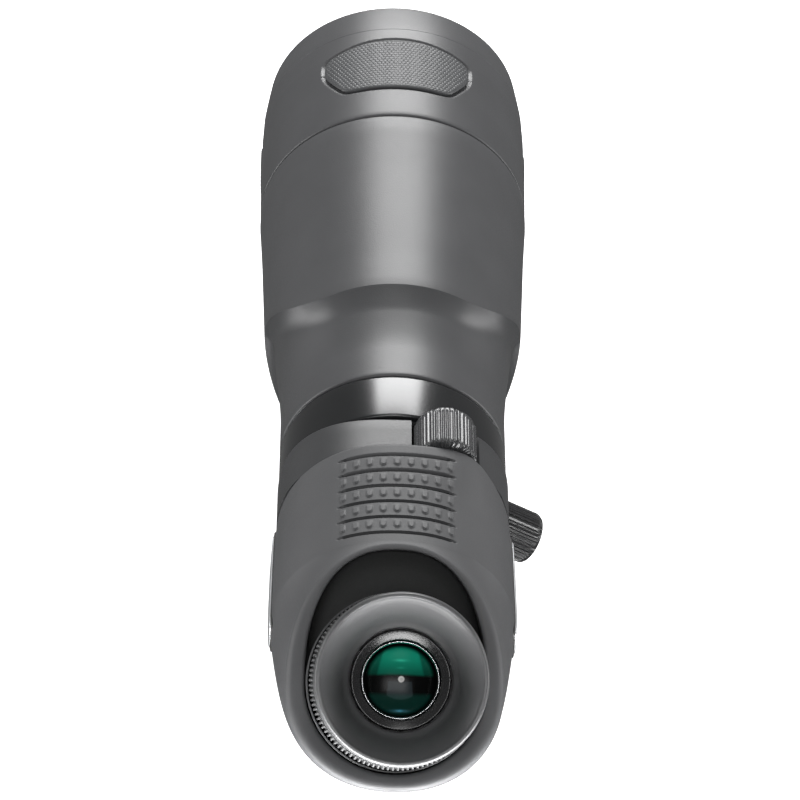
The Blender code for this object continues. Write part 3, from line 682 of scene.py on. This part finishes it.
def make_knob(node, place, radius, start, end, hole, hole_depth, finish, phase):
    """A finger knob with a rounded outer edge and a dished face."""
    side = [(radius, height) for height in np.linspace(end - 2.2, start + 0.6, 22)]
    outline = ([(0.0, end - 0.5), (radius - 4.6, end - 0.5), (radius - 3.4, end - 0.05), (radius - 2.6, end)]
               + [(radius - 1.5, end - 0.18), (radius - 0.8, end - 0.6), (radius - 0.3, end - 1.3)]
               + side + [(radius - 0.5, start), (hole, start), (hole, start + hole_depth),
                         (0.0, start + hole_depth)])

    def ripple(angles, reach, height):
        return knob_ripple(angles + phase, reach, height, radius, end - 1.2, start + 0.4)

    revolve(node + "_grip", outline, place, finish, node, segments=840, ripple=ripple,
            stands_for=(node,), slot="knob", sharp=70.0)


def make_knobs():
    focus_low, focus_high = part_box("focus_knob")
    make_knob("focus_knob", FOCUS, (focus_high.x - focus_low.x) / 2.0 / MM, focus_low.y / MM,
              focus_high.y / MM, 1.8, 10.0, "knob", math.radians(92.0))
    # the lock knob gets the darker copy of the knob plastic, which is painted shade
    make_knob("lock_knob", LOCK, 8.2, 35.7, 49.6, 3.3, 6.0, "knob_painted_shade", 0.3)


# --- housing

# place along the spine, half width, top and bottom of the rounded section
STATIONS = np.array((
    (0.0, 34.6, 39.3, 33.5),
    (6.0, 35.0, 39.2, 33.5),
    (17.0, 35.4, 38.6, 33.0),
    (29.0, 35.5, 38.2, 33.0),
    (39.5, 35.5, 38.0, 33.0),
    (77.2, 30.8, 38.0, 30.2),
    (150.0, 30.8, 38.0, 30.2),
))
BEND_RADIUS = 46.0
BEND_START = EYE_CROSSING + BEND_RADIUS * math.tan(EYE_ANGLE / 2.0)
STRAIGHT = HOUSING_FRONT - BEND_START
RIM_TOP = np.array((-66.1, 38.6))
RIM_SLOPE = math.radians(24.0)
RIM_NORMAL = np.array((-math.sin(RIM_SLOPE), math.cos(RIM_SLOPE)))
POCKET_RADIUS = 25.3
POCKET_REACH = 37.8
POCKET_FLOOR = 7.3
POCKET_POWER = 2.4
HOUSING_POWER = 2.2
UP_EYE = np.array((math.sin(EYE_ANGLE), math.cos(EYE_ANGLE)))
ALONG_EYE = np.array((-math.cos(EYE_ANGLE), math.sin(EYE_ANGLE)))


def spine(along):
    """Centre (forward, up) and tilt of the housing's section at a place."""
    turned = np.clip((along - STRAIGHT) / BEND_RADIUS, 0.0, EYE_ANGLE)
    past = np.maximum(0.0, along - STRAIGHT - BEND_RADIUS * EYE_ANGLE)
    forward = HOUSING_FRONT - np.minimum(along, STRAIGHT)
    forward = forward - BEND_RADIUS * np.sin(turned) - past * math.cos(EYE_ANGLE)
    up = BEND_RADIUS * (1.0 - np.cos(turned)) + past * math.sin(EYE_ANGLE)
    return forward, up, turned


def housing_point(along, angle, inset=0.0):
    """A point of the housing's outer form; angle runs from the top to the right."""
    forward, up, tilt = spine(along)
    half, top, bottom = (np.interp(along, STATIONS[:, 0], STATIONS[:, column]) - inset
                         for column in (1, 2, 3))
    power = 2.0 / HOUSING_POWER
    across = np.sign(np.sin(angle)) * np.abs(np.sin(angle)) ** power
    rise = np.sign(np.cos(angle)) * np.abs(np.cos(angle)) ** power
    offset = (np.degrees(angle) + 180.0) % 360.0 - 180.0 - 33.0
    swell = 1.0 + 2.2 / top * np.exp(-(offset / 16.0) ** 2) * smoothstep(24.0, 0.0, along)
    lift = np.where(rise > 0.0, top, bottom) * rise * swell
    return np.stack([half * across * swell, forward + lift * np.sin(tilt), up + lift * np.cos(tilt)], axis=-1)


def rim_height(points):
    """Height above the pocket's rim plane."""
    return (points[..., 1] - RIM_TOP[0]) * RIM_NORMAL[0] + (points[..., 2] - RIM_TOP[1]) * RIM_NORMAL[1]


def rim_crossing(angles):
    """Place along the spine where each line of the form meets the rim plane."""
    low = np.full(angles.shape, 30.0)
    high = np.full(angles.shape, 148.0)
    for _ in range(40):
        middle = (low + high) / 2.0
        above = rim_height(housing_point(middle, angles)) > 0.0
        high = np.where(above, middle, high)
        low = np.where(above, low, middle)
    return low


def pocket_outline(turns, shrink):
    """The pocket seen along the eyepiece: round below, fuller and taller above."""
    power = np.where(np.sin(turns) > 0.0, 2.0 / POCKET_POWER, 1.0)
    reach = np.where(np.sin(turns) > 0.0, POCKET_REACH, POCKET_RADIUS) - shrink
    across = (POCKET_RADIUS - shrink) * np.sign(np.cos(turns)) * np.abs(np.cos(turns)) ** power
    return across, reach * np.sign(np.sin(turns)) * np.abs(np.sin(turns)) ** power


def eye_point(across, lift, travel):
    """Barrel place of a point that is given along the eyepiece."""
    return np.stack([across, EYE_CROSSING + UP_EYE[0] * lift + ALONG_EYE[0] * travel,
                     UP_EYE[1] * lift + ALONG_EYE[1] * travel], axis=-1)


def rim_travel(lift):
    """How far along the eyepiece the rim plane lies, at a lift from the axis."""
    lift = np.asarray(lift, float)
    return -rim_height(eye_point(0.0 * lift, lift, 0.0)) / (ALONG_EYE @ RIM_NORMAL)


def pocket_edge(toward):
    """Points where the pocket's wall meets the rim plane, one for each crossing point."""
    across, lift = pocket_outline(np.linspace(0.0, 2.0 * math.pi, 721), 0.0)
    outline = eye_point(across, lift, rim_travel(lift))
    slope_axis = np.array((math.cos(RIM_SLOPE), math.sin(RIM_SLOPE)))
    middle = np.array((0.0, RIM_TOP[0] * math.cos(RIM_SLOPE) + RIM_TOP[1] * math.sin(RIM_SLOPE) - 30.0))

    def polar(points):
        down = points[..., 1] * slope_axis[0] + points[..., 2] * slope_axis[1]
        return np.arctan2(points[..., 0], down - middle[1])

    order = np.argsort(polar(outline[:-1]))
    bearing = polar(outline[:-1])[order]
    sorted_outline = outline[:-1][order]
    wanted = polar(toward)
    return np.stack([np.interp(wanted, bearing, sorted_outline[:, axis], period=2.0 * math.pi)
                     for axis in range(3)], axis=-1)


def deck_relief(points):
    """Grooves and tongues of the thumb rest, as a height for each point."""
    across = np.arcsin(np.clip(points[..., 0] / 38.0, -1.0, 1.0)) * 38.0
    forward = points[..., 1]
    groove_count, groove_first, groove_step, half_width = 6, -30.9, -6.22, 18.0
    length, half = 3.0, 0.86
    height = np.zeros(forward.shape)
    taper = smoothstep(half_width, half_width - 3.2, np.abs(across))
    on_top = points[..., 2] > 20.0
    for index in range(groove_count):
        distance = np.abs(forward - (groove_first + groove_step * index))
        width = 0.2 + 0.3 * taper
        height -= 1.2 * taper ** 0.5 * smoothstep(width + 0.1, width - 0.1, distance)
    for row in range(groove_count - 1):
        start = groove_first + groove_step * row - 1.25
        run = start - forward
        for column in range(-4, 5):
            side = np.abs(across - column * 4.02)
            tail = np.hypot(side, np.maximum(0.0, run - (length - half)))
            inside = smoothstep(half + 0.12, half - 0.12, tail) * smoothstep(0.0, 0.5, run)
            ramp = np.clip(run / length, 0.0, 1.0)
            height += 0.5 * inside * (0.25 + 0.75 * ramp)
    return np.where(on_top, height, 0.0)


def surface_normals(grid):
    """Outward normals of a grid whose columns run round the housing."""
    along = np.gradient(grid, axis=0)
    round_ = np.roll(grid, -1, axis=1) - np.roll(grid, 1, axis=1)
    normal = np.cross(round_, along)
    return normal / np.maximum(1e-9, np.linalg.norm(normal, axis=-1, keepdims=True))


ARMOR_EDGE = 1.2        # rounding of the armour's front edge
ARMOR_INSET = 1.9       # thickness of the armour
DECK_END = 37.5         # place along the spine where the thumb rest stops
PAINTED_SHADE_BELOW = -0.55      # the relief's deeper parts get painted shade


def armor_form(angles, end):
    """Rows of the armour's outside from its front edge to its lip, and their relief."""
    deck = np.linspace(ARMOR_EDGE, DECK_END, 140)
    shares = np.linspace(0.0, 1.0, 62)[1:]
    rows = [housing_point(along, angles) for along in deck]
    rows += [housing_point(DECK_END + (end - DECK_END) * share, angles) for share in shares]
    grid = np.array(rows)
    normals = surface_normals(grid)
    relief = deck_relief(grid)
    middles = np.concatenate([deck, np.full(len(shares), 60.0)])
    centre = np.array(spine(middles))[:2].T
    outward = grid - np.concatenate([np.zeros((len(grid), 1)), centre], axis=1)[:, None, :]
    facing = np.sign(np.sum(normals * outward, axis=-1, keepdims=True))
    return grid + normals * facing * relief[..., None], relief


def rim_rows(last, crossing, angles, lip):
    """Rows of the rolled lip and flat rim, and rows of the pocket's wall."""
    corner = housing_point(crossing, angles)
    inner = pocket_edge(corner)
    towards = inner - corner
    width = np.maximum(0.3, np.linalg.norm(towards, axis=-1, keepdims=True))
    flat_start = corner + towards * np.minimum(0.55, (lip * 0.8)[:, None] / width)
    rim = [bend(last, corner, flat_start, t) for t in np.linspace(0.0, 1.0, 11)[1:]]
    axis = np.array((0.0, ALONG_EYE[0], ALONG_EYE[1]))
    fillet = np.minimum(1.2, width * 0.4)
    before_edge = inner - towards / width * fillet
    after_edge = inner - axis * fillet
    rim += [flat_start + (before_edge - flat_start) * t for t in (0.5, 1.0)]
    rim += [bend(before_edge, inner, after_edge, t) for t in np.linspace(0.0, 1.0, 7)[1:]]
    depth = (after_edge[:, 1] - EYE_CROSSING) * ALONG_EYE[0] + after_edge[:, 2] * ALONG_EYE[1]
    drop = np.maximum(0.0, depth - POCKET_FLOOR)[:, None]
    return rim, [after_edge - axis * drop * t for t in (0.34, 0.67, 1.0)]


def make_rear_armor():
    fine = np.radians(np.linspace(-31.0, 31.0, 157))
    coarse = np.radians(np.linspace(31.0, 329.0, 158)[1:-1])
    angles = np.concatenate([fine, coarse])
    from_top = np.minimum(np.abs(angles), 2.0 * math.pi - np.abs(angles))
    crossing = rim_crossing(angles)
    lip = 3.0 + 1.6 * smoothstep(math.radians(25.0), math.radians(75.0), from_top)
    end = crossing - lip
    front = [housing_point(ARMOR_EDGE * fall, angles, inset=ARMOR_EDGE * (1.0 - rise))
             for fall, rise in quarter(6)[:-1]]
    form, relief = armor_form(angles, end)
    rim, wall = rim_rows(form[-1], crossing, angles, lip)
    back = [housing_point(np.minimum(end - 1.0, along), angles, inset=ARMOR_INSET)
            for along in (40.0, 20.0, 0.4)]
    whole = np.array(front + list(form) + rim + wall + back)
    skin = closed_grid("rear_armor_skin", whole, PLAIN, "rear", "scope_body",
                       stands_for=("rear_armor",), slot="armor", sharp=60.0)
    # faces deep in the relief, and the pocket's wall, get the near-black finish as painted shade
    sunk = np.zeros(whole.shape[:2], bool)
    sunk[len(front):len(front) + len(form)] = relief < PAINTED_SHADE_BELOW
    wall_start = len(front) + len(form) + len(rim)
    sunk[wall_start:wall_start + len(wall) - 1] = True
    skin.data.materials.append(FINISH["painted_shade"])
    skin.data.polygons.foreach_set("material_index", sunk.ravel().astype(np.int32))


def make_neck():
    """The casting's round neck with the pocket that the focus knob turns in."""
    pocket, bore, edge = 10.0, 23.2, 0.9
    reach = math.hypot(FOCUS_X, FOCUS_Z)
    bearing = math.atan2(FOCUS_X, FOCUS_Z)
    wide = math.asin(pocket / reach)
    near = bearing + np.linspace(-1.15 * wide, 1.15 * wide, 120)
    far = np.linspace(bearing + 1.15 * wide, bearing - 1.15 * wide + 2.0 * math.pi, 150)[1:-1]
    angles = np.concatenate([near, far])
    offset = (angles - bearing + math.pi) % (2.0 * math.pi) - math.pi
    under = np.maximum(0.0, pocket ** 2 - (reach * np.sin(offset)) ** 2)
    sunk = reach * np.cos(offset) - np.sqrt(under)
    half, top, bottom = NECK_SECTION
    tall = np.where(np.cos(angles) > 0.0, top, bottom)
    form = ((np.abs(np.sin(angles)) / half) ** NECK_POWER
            + (np.abs(np.cos(angles)) / tall) ** NECK_POWER) ** (-1.0 / NECK_POWER)
    radius = np.where(np.abs(offset) < wide, np.minimum(form, sunk), form)
    rear = HOUSING_FRONT + 0.2
    rows = [around(bore, angles, rear)]
    places = (rear, rear + 0.5, -20.0, -14.0, NECK_FRONT - edge)
    rows += [around(radius, angles, place) for place in places]
    for fall, rise in quarter(5)[1:]:
        rows.append(around(radius - edge * fall, angles, NECK_FRONT - edge * (1.0 - rise)))
    rows.append(around(bore, angles, NECK_FRONT))
    closed_grid("housing_neck", np.array(rows), PLAIN, "neck", "scope_body",
                stands_for=("prism_housing",), slot="casting", sharp=40.0)


def make_well():
    """Floor and lower wall of the eyepiece pocket, part of the casting, in near-black painted shade."""
    turns = np.linspace(0.0, 2.0 * math.pi, 160, endpoint=False)

    def ring(shrink, height, blend):
        across, lift = pocket_outline(turns, shrink)
        bore = 15.4 * blend
        return np.stack([across * (1.0 - blend) + bore * np.cos(turns),
                         lift * (1.0 - blend) + bore * np.sin(turns), np.full(turns.shape, height)], axis=-1)

    rows = [ring(-0.3, POCKET_FLOOR - 3.0, 0.0), ring(-0.3, POCKET_FLOOR - 0.6, 0.0),
            ring(0.3, POCKET_FLOOR - 0.3, 0.0), ring(1.0, POCKET_FLOOR - 0.3, 0.3),
            ring(1.0, POCKET_FLOOR - 0.3, 1.0), ring(1.0, POCKET_FLOOR - 3.0, 1.0)]
    # the near-black finish here is painted shade for the deep pocket
    closed_grid("pocket_floor", np.array(rows), EYE, "painted_shade", "scope_body", slot="casting")


BADGE_PLACE = -50.0
BADGE_LIFT = 1.0


def flank_point(forward, up, side, stand):
    """A point on the housing's flank, standing proud of it."""
    along = HOUSING_FRONT - forward
    half, top, bottom = (np.interp(along, STATIONS[:, 0], STATIONS[:, column]) for column in (1, 2, 3))
    tall = np.where(up > 0.0, top, bottom)
    across = half * (1.0 - np.abs(up / tall) ** HOUSING_POWER) ** (1.0 / HOUSING_POWER)
    return np.stack([side * (across + stand), forward + 0.0 * across, up + 0.0 * across], axis=-1)


def make_badge(side_name, side):
    """A blank raised plate on the flank: bright face in a dark border."""
    for part, grow, stand, finish in (("edge", 0.0, 0.45, "badge_edge"), ("face", -0.9, 0.75, "badge")):
        outline = np.array(rectangle(20.0 + grow, 6.0 + grow, 2.4, 8))
        rings = []
        edge = [(1.0, -0.6), (1.0, stand - 0.15)]
        for share, proud in edge + [(0.985, stand), (0.66, stand), (0.33, stand)]:
            forward = BADGE_PLACE + outline[:, 0] * share
            up = BADGE_LIFT + outline[:, 1] * share
            rings.append(flank_point(forward, up, side, proud))
        centre = flank_point(np.array([BADGE_PLACE]), np.array([BADGE_LIFT]), side, stand)
        rows = np.array(rings)
        count, columns = rows.shape[:2]
        points = np.concatenate([rows.reshape(-1, 3), centre])
        faces = [tuple(range(columns))] + ring_faces(count, columns, closed=False)
        last = (count - 1) * columns
        faces += [(last + column, last + (column + 1) % columns, len(points) - 1)
                  for column in range(columns)]
        stands = ("badge_" + side_name,) if part == "face" else ()
        make_piece("badge_%s_%s" % (side_name, part), points, faces, PLAIN, finish, "scope_body",
                   stands_for=stands, slot="badge")


# --- eyepiece

TEETH = 110


def teeth(depth, outer):
    def ripple(angles, radius, height):
        if radius < outer - 1.1:
            return np.full(angles.shape, radius)
        wave = np.cos(angles * TEETH)
        cut = depth * smoothstep(0.35, -0.35, wave)
        fade = smoothstep(outer - 1.1, outer - 0.5, np.array(radius))
        return radius - cut * fade
    return ripple


def make_zoom_ring():
    skirt = float(rim_travel(-POCKET_RADIUS)) - 0.8
    flange = ((24.95, 7.5, 0.4), (24.95, skirt, 0.2), (24.4, skirt, 0.1), (24.4, 13.6, 0.1),
              (15.4, 13.6, 0.2), (15.4, 7.5))
    revolve("eyepiece_base", flange, EYE, "neck", "scope_body", segments=200,
            stands_for=("eyepiece_flange",), slot="anodised")
    ring = ((23.9, 14.0, 0.3), (23.9, 16.6, 0.6), (21.6, 17.0), (21.6, 57.0, 0.4), (16.9, 57.0, 0.2),
            (16.9, 14.0))
    revolve("zoom_ring_body", ring, EYE, "anodised", "zoom_ring", segments=200,
            stands_for=("zoom_ring",), slot="anodised")
    outline = [(21.9, 17.4), (23.2, 17.4), (24.1, 18.3), (24.1, 55.6), (23.2, 56.5), (21.9, 56.5)]
    revolve("zoom_grip_sleeve", outline, EYE, "grip", "zoom_ring", segments=TEETH * 8,
            ripple=teeth(0.75, 24.1), stands_for=("zoom_grip",), slot="dark_rubber", sharp=40.0)


def make_eyecup():
    rubber = (
        (21.7, 98.0, 0.55), (22.6, 97.8, 0.5), (23.0, 96.4, 0.7), (23.0, 58.8, 0.6), (22.4, 58.0, 0.4),
        (21.0, 58.0, 0.2), (21.0, 89.8, 0.3), (17.6, 89.8, 0.5), (15.2, 84.9, 0.5), (13.8, 84.9, 0.2),
        (13.75, 86.4, 0.6), (15.4, 88.0, 1.2), (17.4, 92.2, 3.0), (19.6, 95.4, 1.6), (20.9, 96.9, 0.35),
        (21.25, 97.25, 0.25),
    )
    revolve("eyecup_rubber_skin", rubber, EYE, "eyecup", "eyecup", segments=220, steps=7,
            stands_for=("eyecup_rubber",), slot="eyecup")
    sleeve = ((17.8, 60.0, 0.2), (20.7, 60.0, 0.5), (20.7, 89.4, 0.3), (17.8, 89.4, 0.3))
    revolve("eyecup_sleeve_body", sleeve, EYE, "knob", "eyecup", segments=160,
            stands_for=("eyecup_sleeve",), slot="knob")


def spot(x, y, height, wide, tall):
    """A soft oval of painted light on the lens's middle line."""
    return np.exp(-((x / wide) ** 2 + ((y - height) / tall) ** 2))


def paint_eye_lens_reflections(across, lift, radius):
    """Painted reflections on the coated lens: green sky above, dark prism below, with painted glints and a painted
    white spot.
    """
    x, y = across / radius, lift / radius
    away = np.hypot(x, y)
    colour = np.zeros((len(x), 3))
    colour[:] = (0.0015, 0.002, 0.002)
    upper = smoothstep(0.10, 0.20, y + 0.03 * x * x)
    dome = smoothstep(0.93, 0.80, np.hypot(x, (y - 0.02) / 0.98))
    # painted reflection: the bright green upper part of the lens
    painted_green_reflection = upper * dome
    green = np.array((0.010, 0.420, 0.260))
    deep = np.array((0.002, 0.120, 0.075))
    share = smoothstep(0.05, 0.75, y)[:, None]
    top = deep * (1.0 - share) + green * share
    side = smoothstep(0.62, 0.70, np.abs(x) + 0.25 * y)[:, None]
    top = top * (1.0 - 0.55 * side)
    colour = colour * (1.0 - painted_green_reflection[:, None]) + top * painted_green_reflection[:, None]
    # painted glints in the green part
    painted_glint = spot(x, y, 0.53, 0.16, 0.035) + 0.4 * spot(x, y, 0.33, 0.10, 0.03)
    colour += painted_glint[:, None] * np.array((0.03, 0.30, 0.20))
    lower = smoothstep(-0.30, -0.45, y) * smoothstep(0.97, 0.85, away)
    colour += lower[:, None] * np.array((0.001, 0.030, 0.022))
    # painted reflection of the prism: a grey trapezoid below the middle
    half = 0.30 + 0.10 * (0.1 - y)
    prism = smoothstep(half + 0.02, half - 0.02, np.abs(x + 0.01)) * smoothstep(0.0, -0.05, y)
    prism *= smoothstep(-0.44, -0.38, y + 0.10 * (1.0 - (x / 0.34) ** 2))
    colour += prism[:, None] * np.array((0.022, 0.030, 0.034))
    # painted blue glints near the bottom edge
    painted_blue_glints = spot(x, y, -0.81, 0.20, 0.035) + 1.6 * spot(x, y, -0.81, 0.06, 0.02)
    colour += painted_blue_glints[:, None] * np.array((0.03, 0.14, 0.20))
    # painted white spot of light near the middle
    dot = smoothstep(0.095, 0.07, np.hypot(x - 0.02, y - 0.03))
    core = smoothstep(0.055, 0.035, np.hypot(x - 0.03, y - 0.02))
    colour = colour * (1.0 - dot[:, None]) + np.array((0.80, 0.79, 0.76)) * dot[:, None]
    colour *= (1.0 - 0.25 * core[:, None])
    return np.clip(colour, 0.0, 1.0)


def make_eye_lens():
    cell = (
        (13.3, 64.0), (13.3, 86.3, 0.35), (12.9, 86.6, 0.2), (10.75, 85.2, 0.2), (10.75, 71.5),
        (9.2, 71.5), (9.2, 64.0),
    )
    revolve("eye_lens_mount", cell, EYE, "cell", "scope_body", segments=200,
            stands_for=("eye_lens_cell",), slot="knob")
    ring = ((10.6, 82.9, 0.2), (10.2, 83.5, 0.25), (9.85, 82.9, 0.2), (9.85, 81.8), (10.6, 81.8))
    revolve("eye_lens_ring", ring, EYE, "silver", "scope_body", segments=200,
            stands_for=("eye_lens_retainer",), slot="silver")
    radius = 10.5
    rings = 90
    outline = bowl(radius, 79.4, 2.0, rings) + [(radius, 72.0)] + bowl(radius, 72.0, -0.5, 6, flip=True)[1:]
    glass = revolve("eye_lens_glass", outline, EYE, "lens", "scope_body", segments=180,
                    stands_for=("eye_lens",), slot="optic")
    mesh = glass.data
    places = np.zeros(len(mesh.vertices) * 3)
    mesh.vertices.foreach_get("co", places)
    inverse = np.array(EYE.inverted())
    places = places.reshape(-1, 3) @ inverse[:3, :3].T + inverse[:3, 3]
    # the lens's colours are painted reflections
    colours = paint_eye_lens_reflections(places[:, 0] / MM, places[:, 1] / MM, 10.0)
    paint = mesh.color_attributes.new("paint", "FLOAT_COLOR", "POINT")
    rgba = np.concatenate([colours, np.ones((len(colours), 1))], axis=1)
    paint.data.foreach_set("color", rgba.ravel())


# --- stage


def area_light(name, place, aim, size, power, size_y):
    data = bpy.data.lights.new(name, "AREA")
    data.shape = "RECTANGLE"
    data.size = size
    data.size_y = size_y
    data.energy = power
    light = add_object(name, data)
    light.location = place
    light.rotation_euler = (Vector(aim) - Vector(place)).to_track_quat("-Z", "Y").to_euler()
    return light


def make_stage():
    mesh = bpy.data.meshes.new("floor")
    reach = 6.0
    mesh.from_pydata([(-reach, -reach, 0), (reach, -reach, 0), (reach, reach, 0), (-reach, reach, 0)],
                     [], [(0, 1, 2, 3)])
    floor = add_object("floor", mesh)
    floor.location.z = -0.0005
    made, nodes, links, shader = node_material("floor_white", (0.9, 0.9, 0.9), 0.7)
    drift = noise_node(nodes, links, 3.0, 2.0)
    links.new(ramp_between(nodes, links, drift, 0.65, 0.75), shader.inputs["Roughness"])
    set_inputs(shader, {"Emission Color": (1.0, 1.0, 1.0, 1.0), "Emission Strength": 1.0})
    mesh.materials.append(made)
    floor.visible_diffuse = False
    floor.visible_glossy = False

    world = bpy.data.worlds.new("studio")
    bpy.context.scene.world = world
    world.use_nodes = True
    backdrop = world.node_tree.nodes["Background"]
    set_inputs(backdrop, {"Color": (1.0, 1.0, 1.0, 1.0), "Strength": 0.16})
    middle = (0.0, 0.0, 0.06)
    for name, place, size, power, size_y in (
            ("front_box", (0.06, 1.15, 0.87), 0.75, 20.0, 0.7),
            ("key_above", (0.0, -0.1, 1.35), 0.35, 2.2, 0.8),
            ("left_strip", (-1.3, 0.3, 0.12), 0.5, 14.0, 1.4),
            ("right_strip", (1.3, 0.3, 0.12), 0.5, 14.0, 1.4),
            ("rear_fill", (-0.1, -1.3, 1.2), 0.7, 7.0, 0.4)):
        area_light(name, place, middle, size, power, size_y)
    bounce = area_light("floor_bounce", (0.0, -0.36, 0.004), (0.0, -0.3, 1.0), 0.5, 11.0, 0.4)
    bounce.visible_camera = False
    bpy.context.scene.view_settings.view_transform = "Standard"


def make_camera():
    """The view from behind and above, almost along the eyepiece."""
    data = bpy.data.cameras.new("camera")
    data.sensor_width = 36.0
    data.lens = 176.4
    camera = add_object("camera", data)
    distance = 1.2
    azimuth, elevation, roll = math.radians(-2.0), math.radians(42.0), math.radians(2.9)
    target = Vector((2.0, 27.3, AXIS_HEIGHT + 8.0)) * MM
    back = Vector((math.sin(azimuth) * math.cos(elevation), -math.cos(azimuth) * math.cos(elevation),
                   math.sin(elevation)))
    camera.location = target + back * distance
    turn = (-back).to_track_quat("-Z", "Y").to_matrix() @ Matrix.Rotation(roll, 3, "Z")
    camera.rotation_euler = turn.to_euler()
    bpy.context.scene.camera = camera


dress_cad_nodes()
make_barrel_armor()
make_sunshade()
make_objective()
make_collar()
make_foot()
make_knobs()
make_rear_armor()
make_neck()
make_well()
make_badge("left", -1.0)
make_badge("right", 1.0)
make_zoom_ring()
make_eyecup()
make_eye_lens()
make_stage()
make_camera()
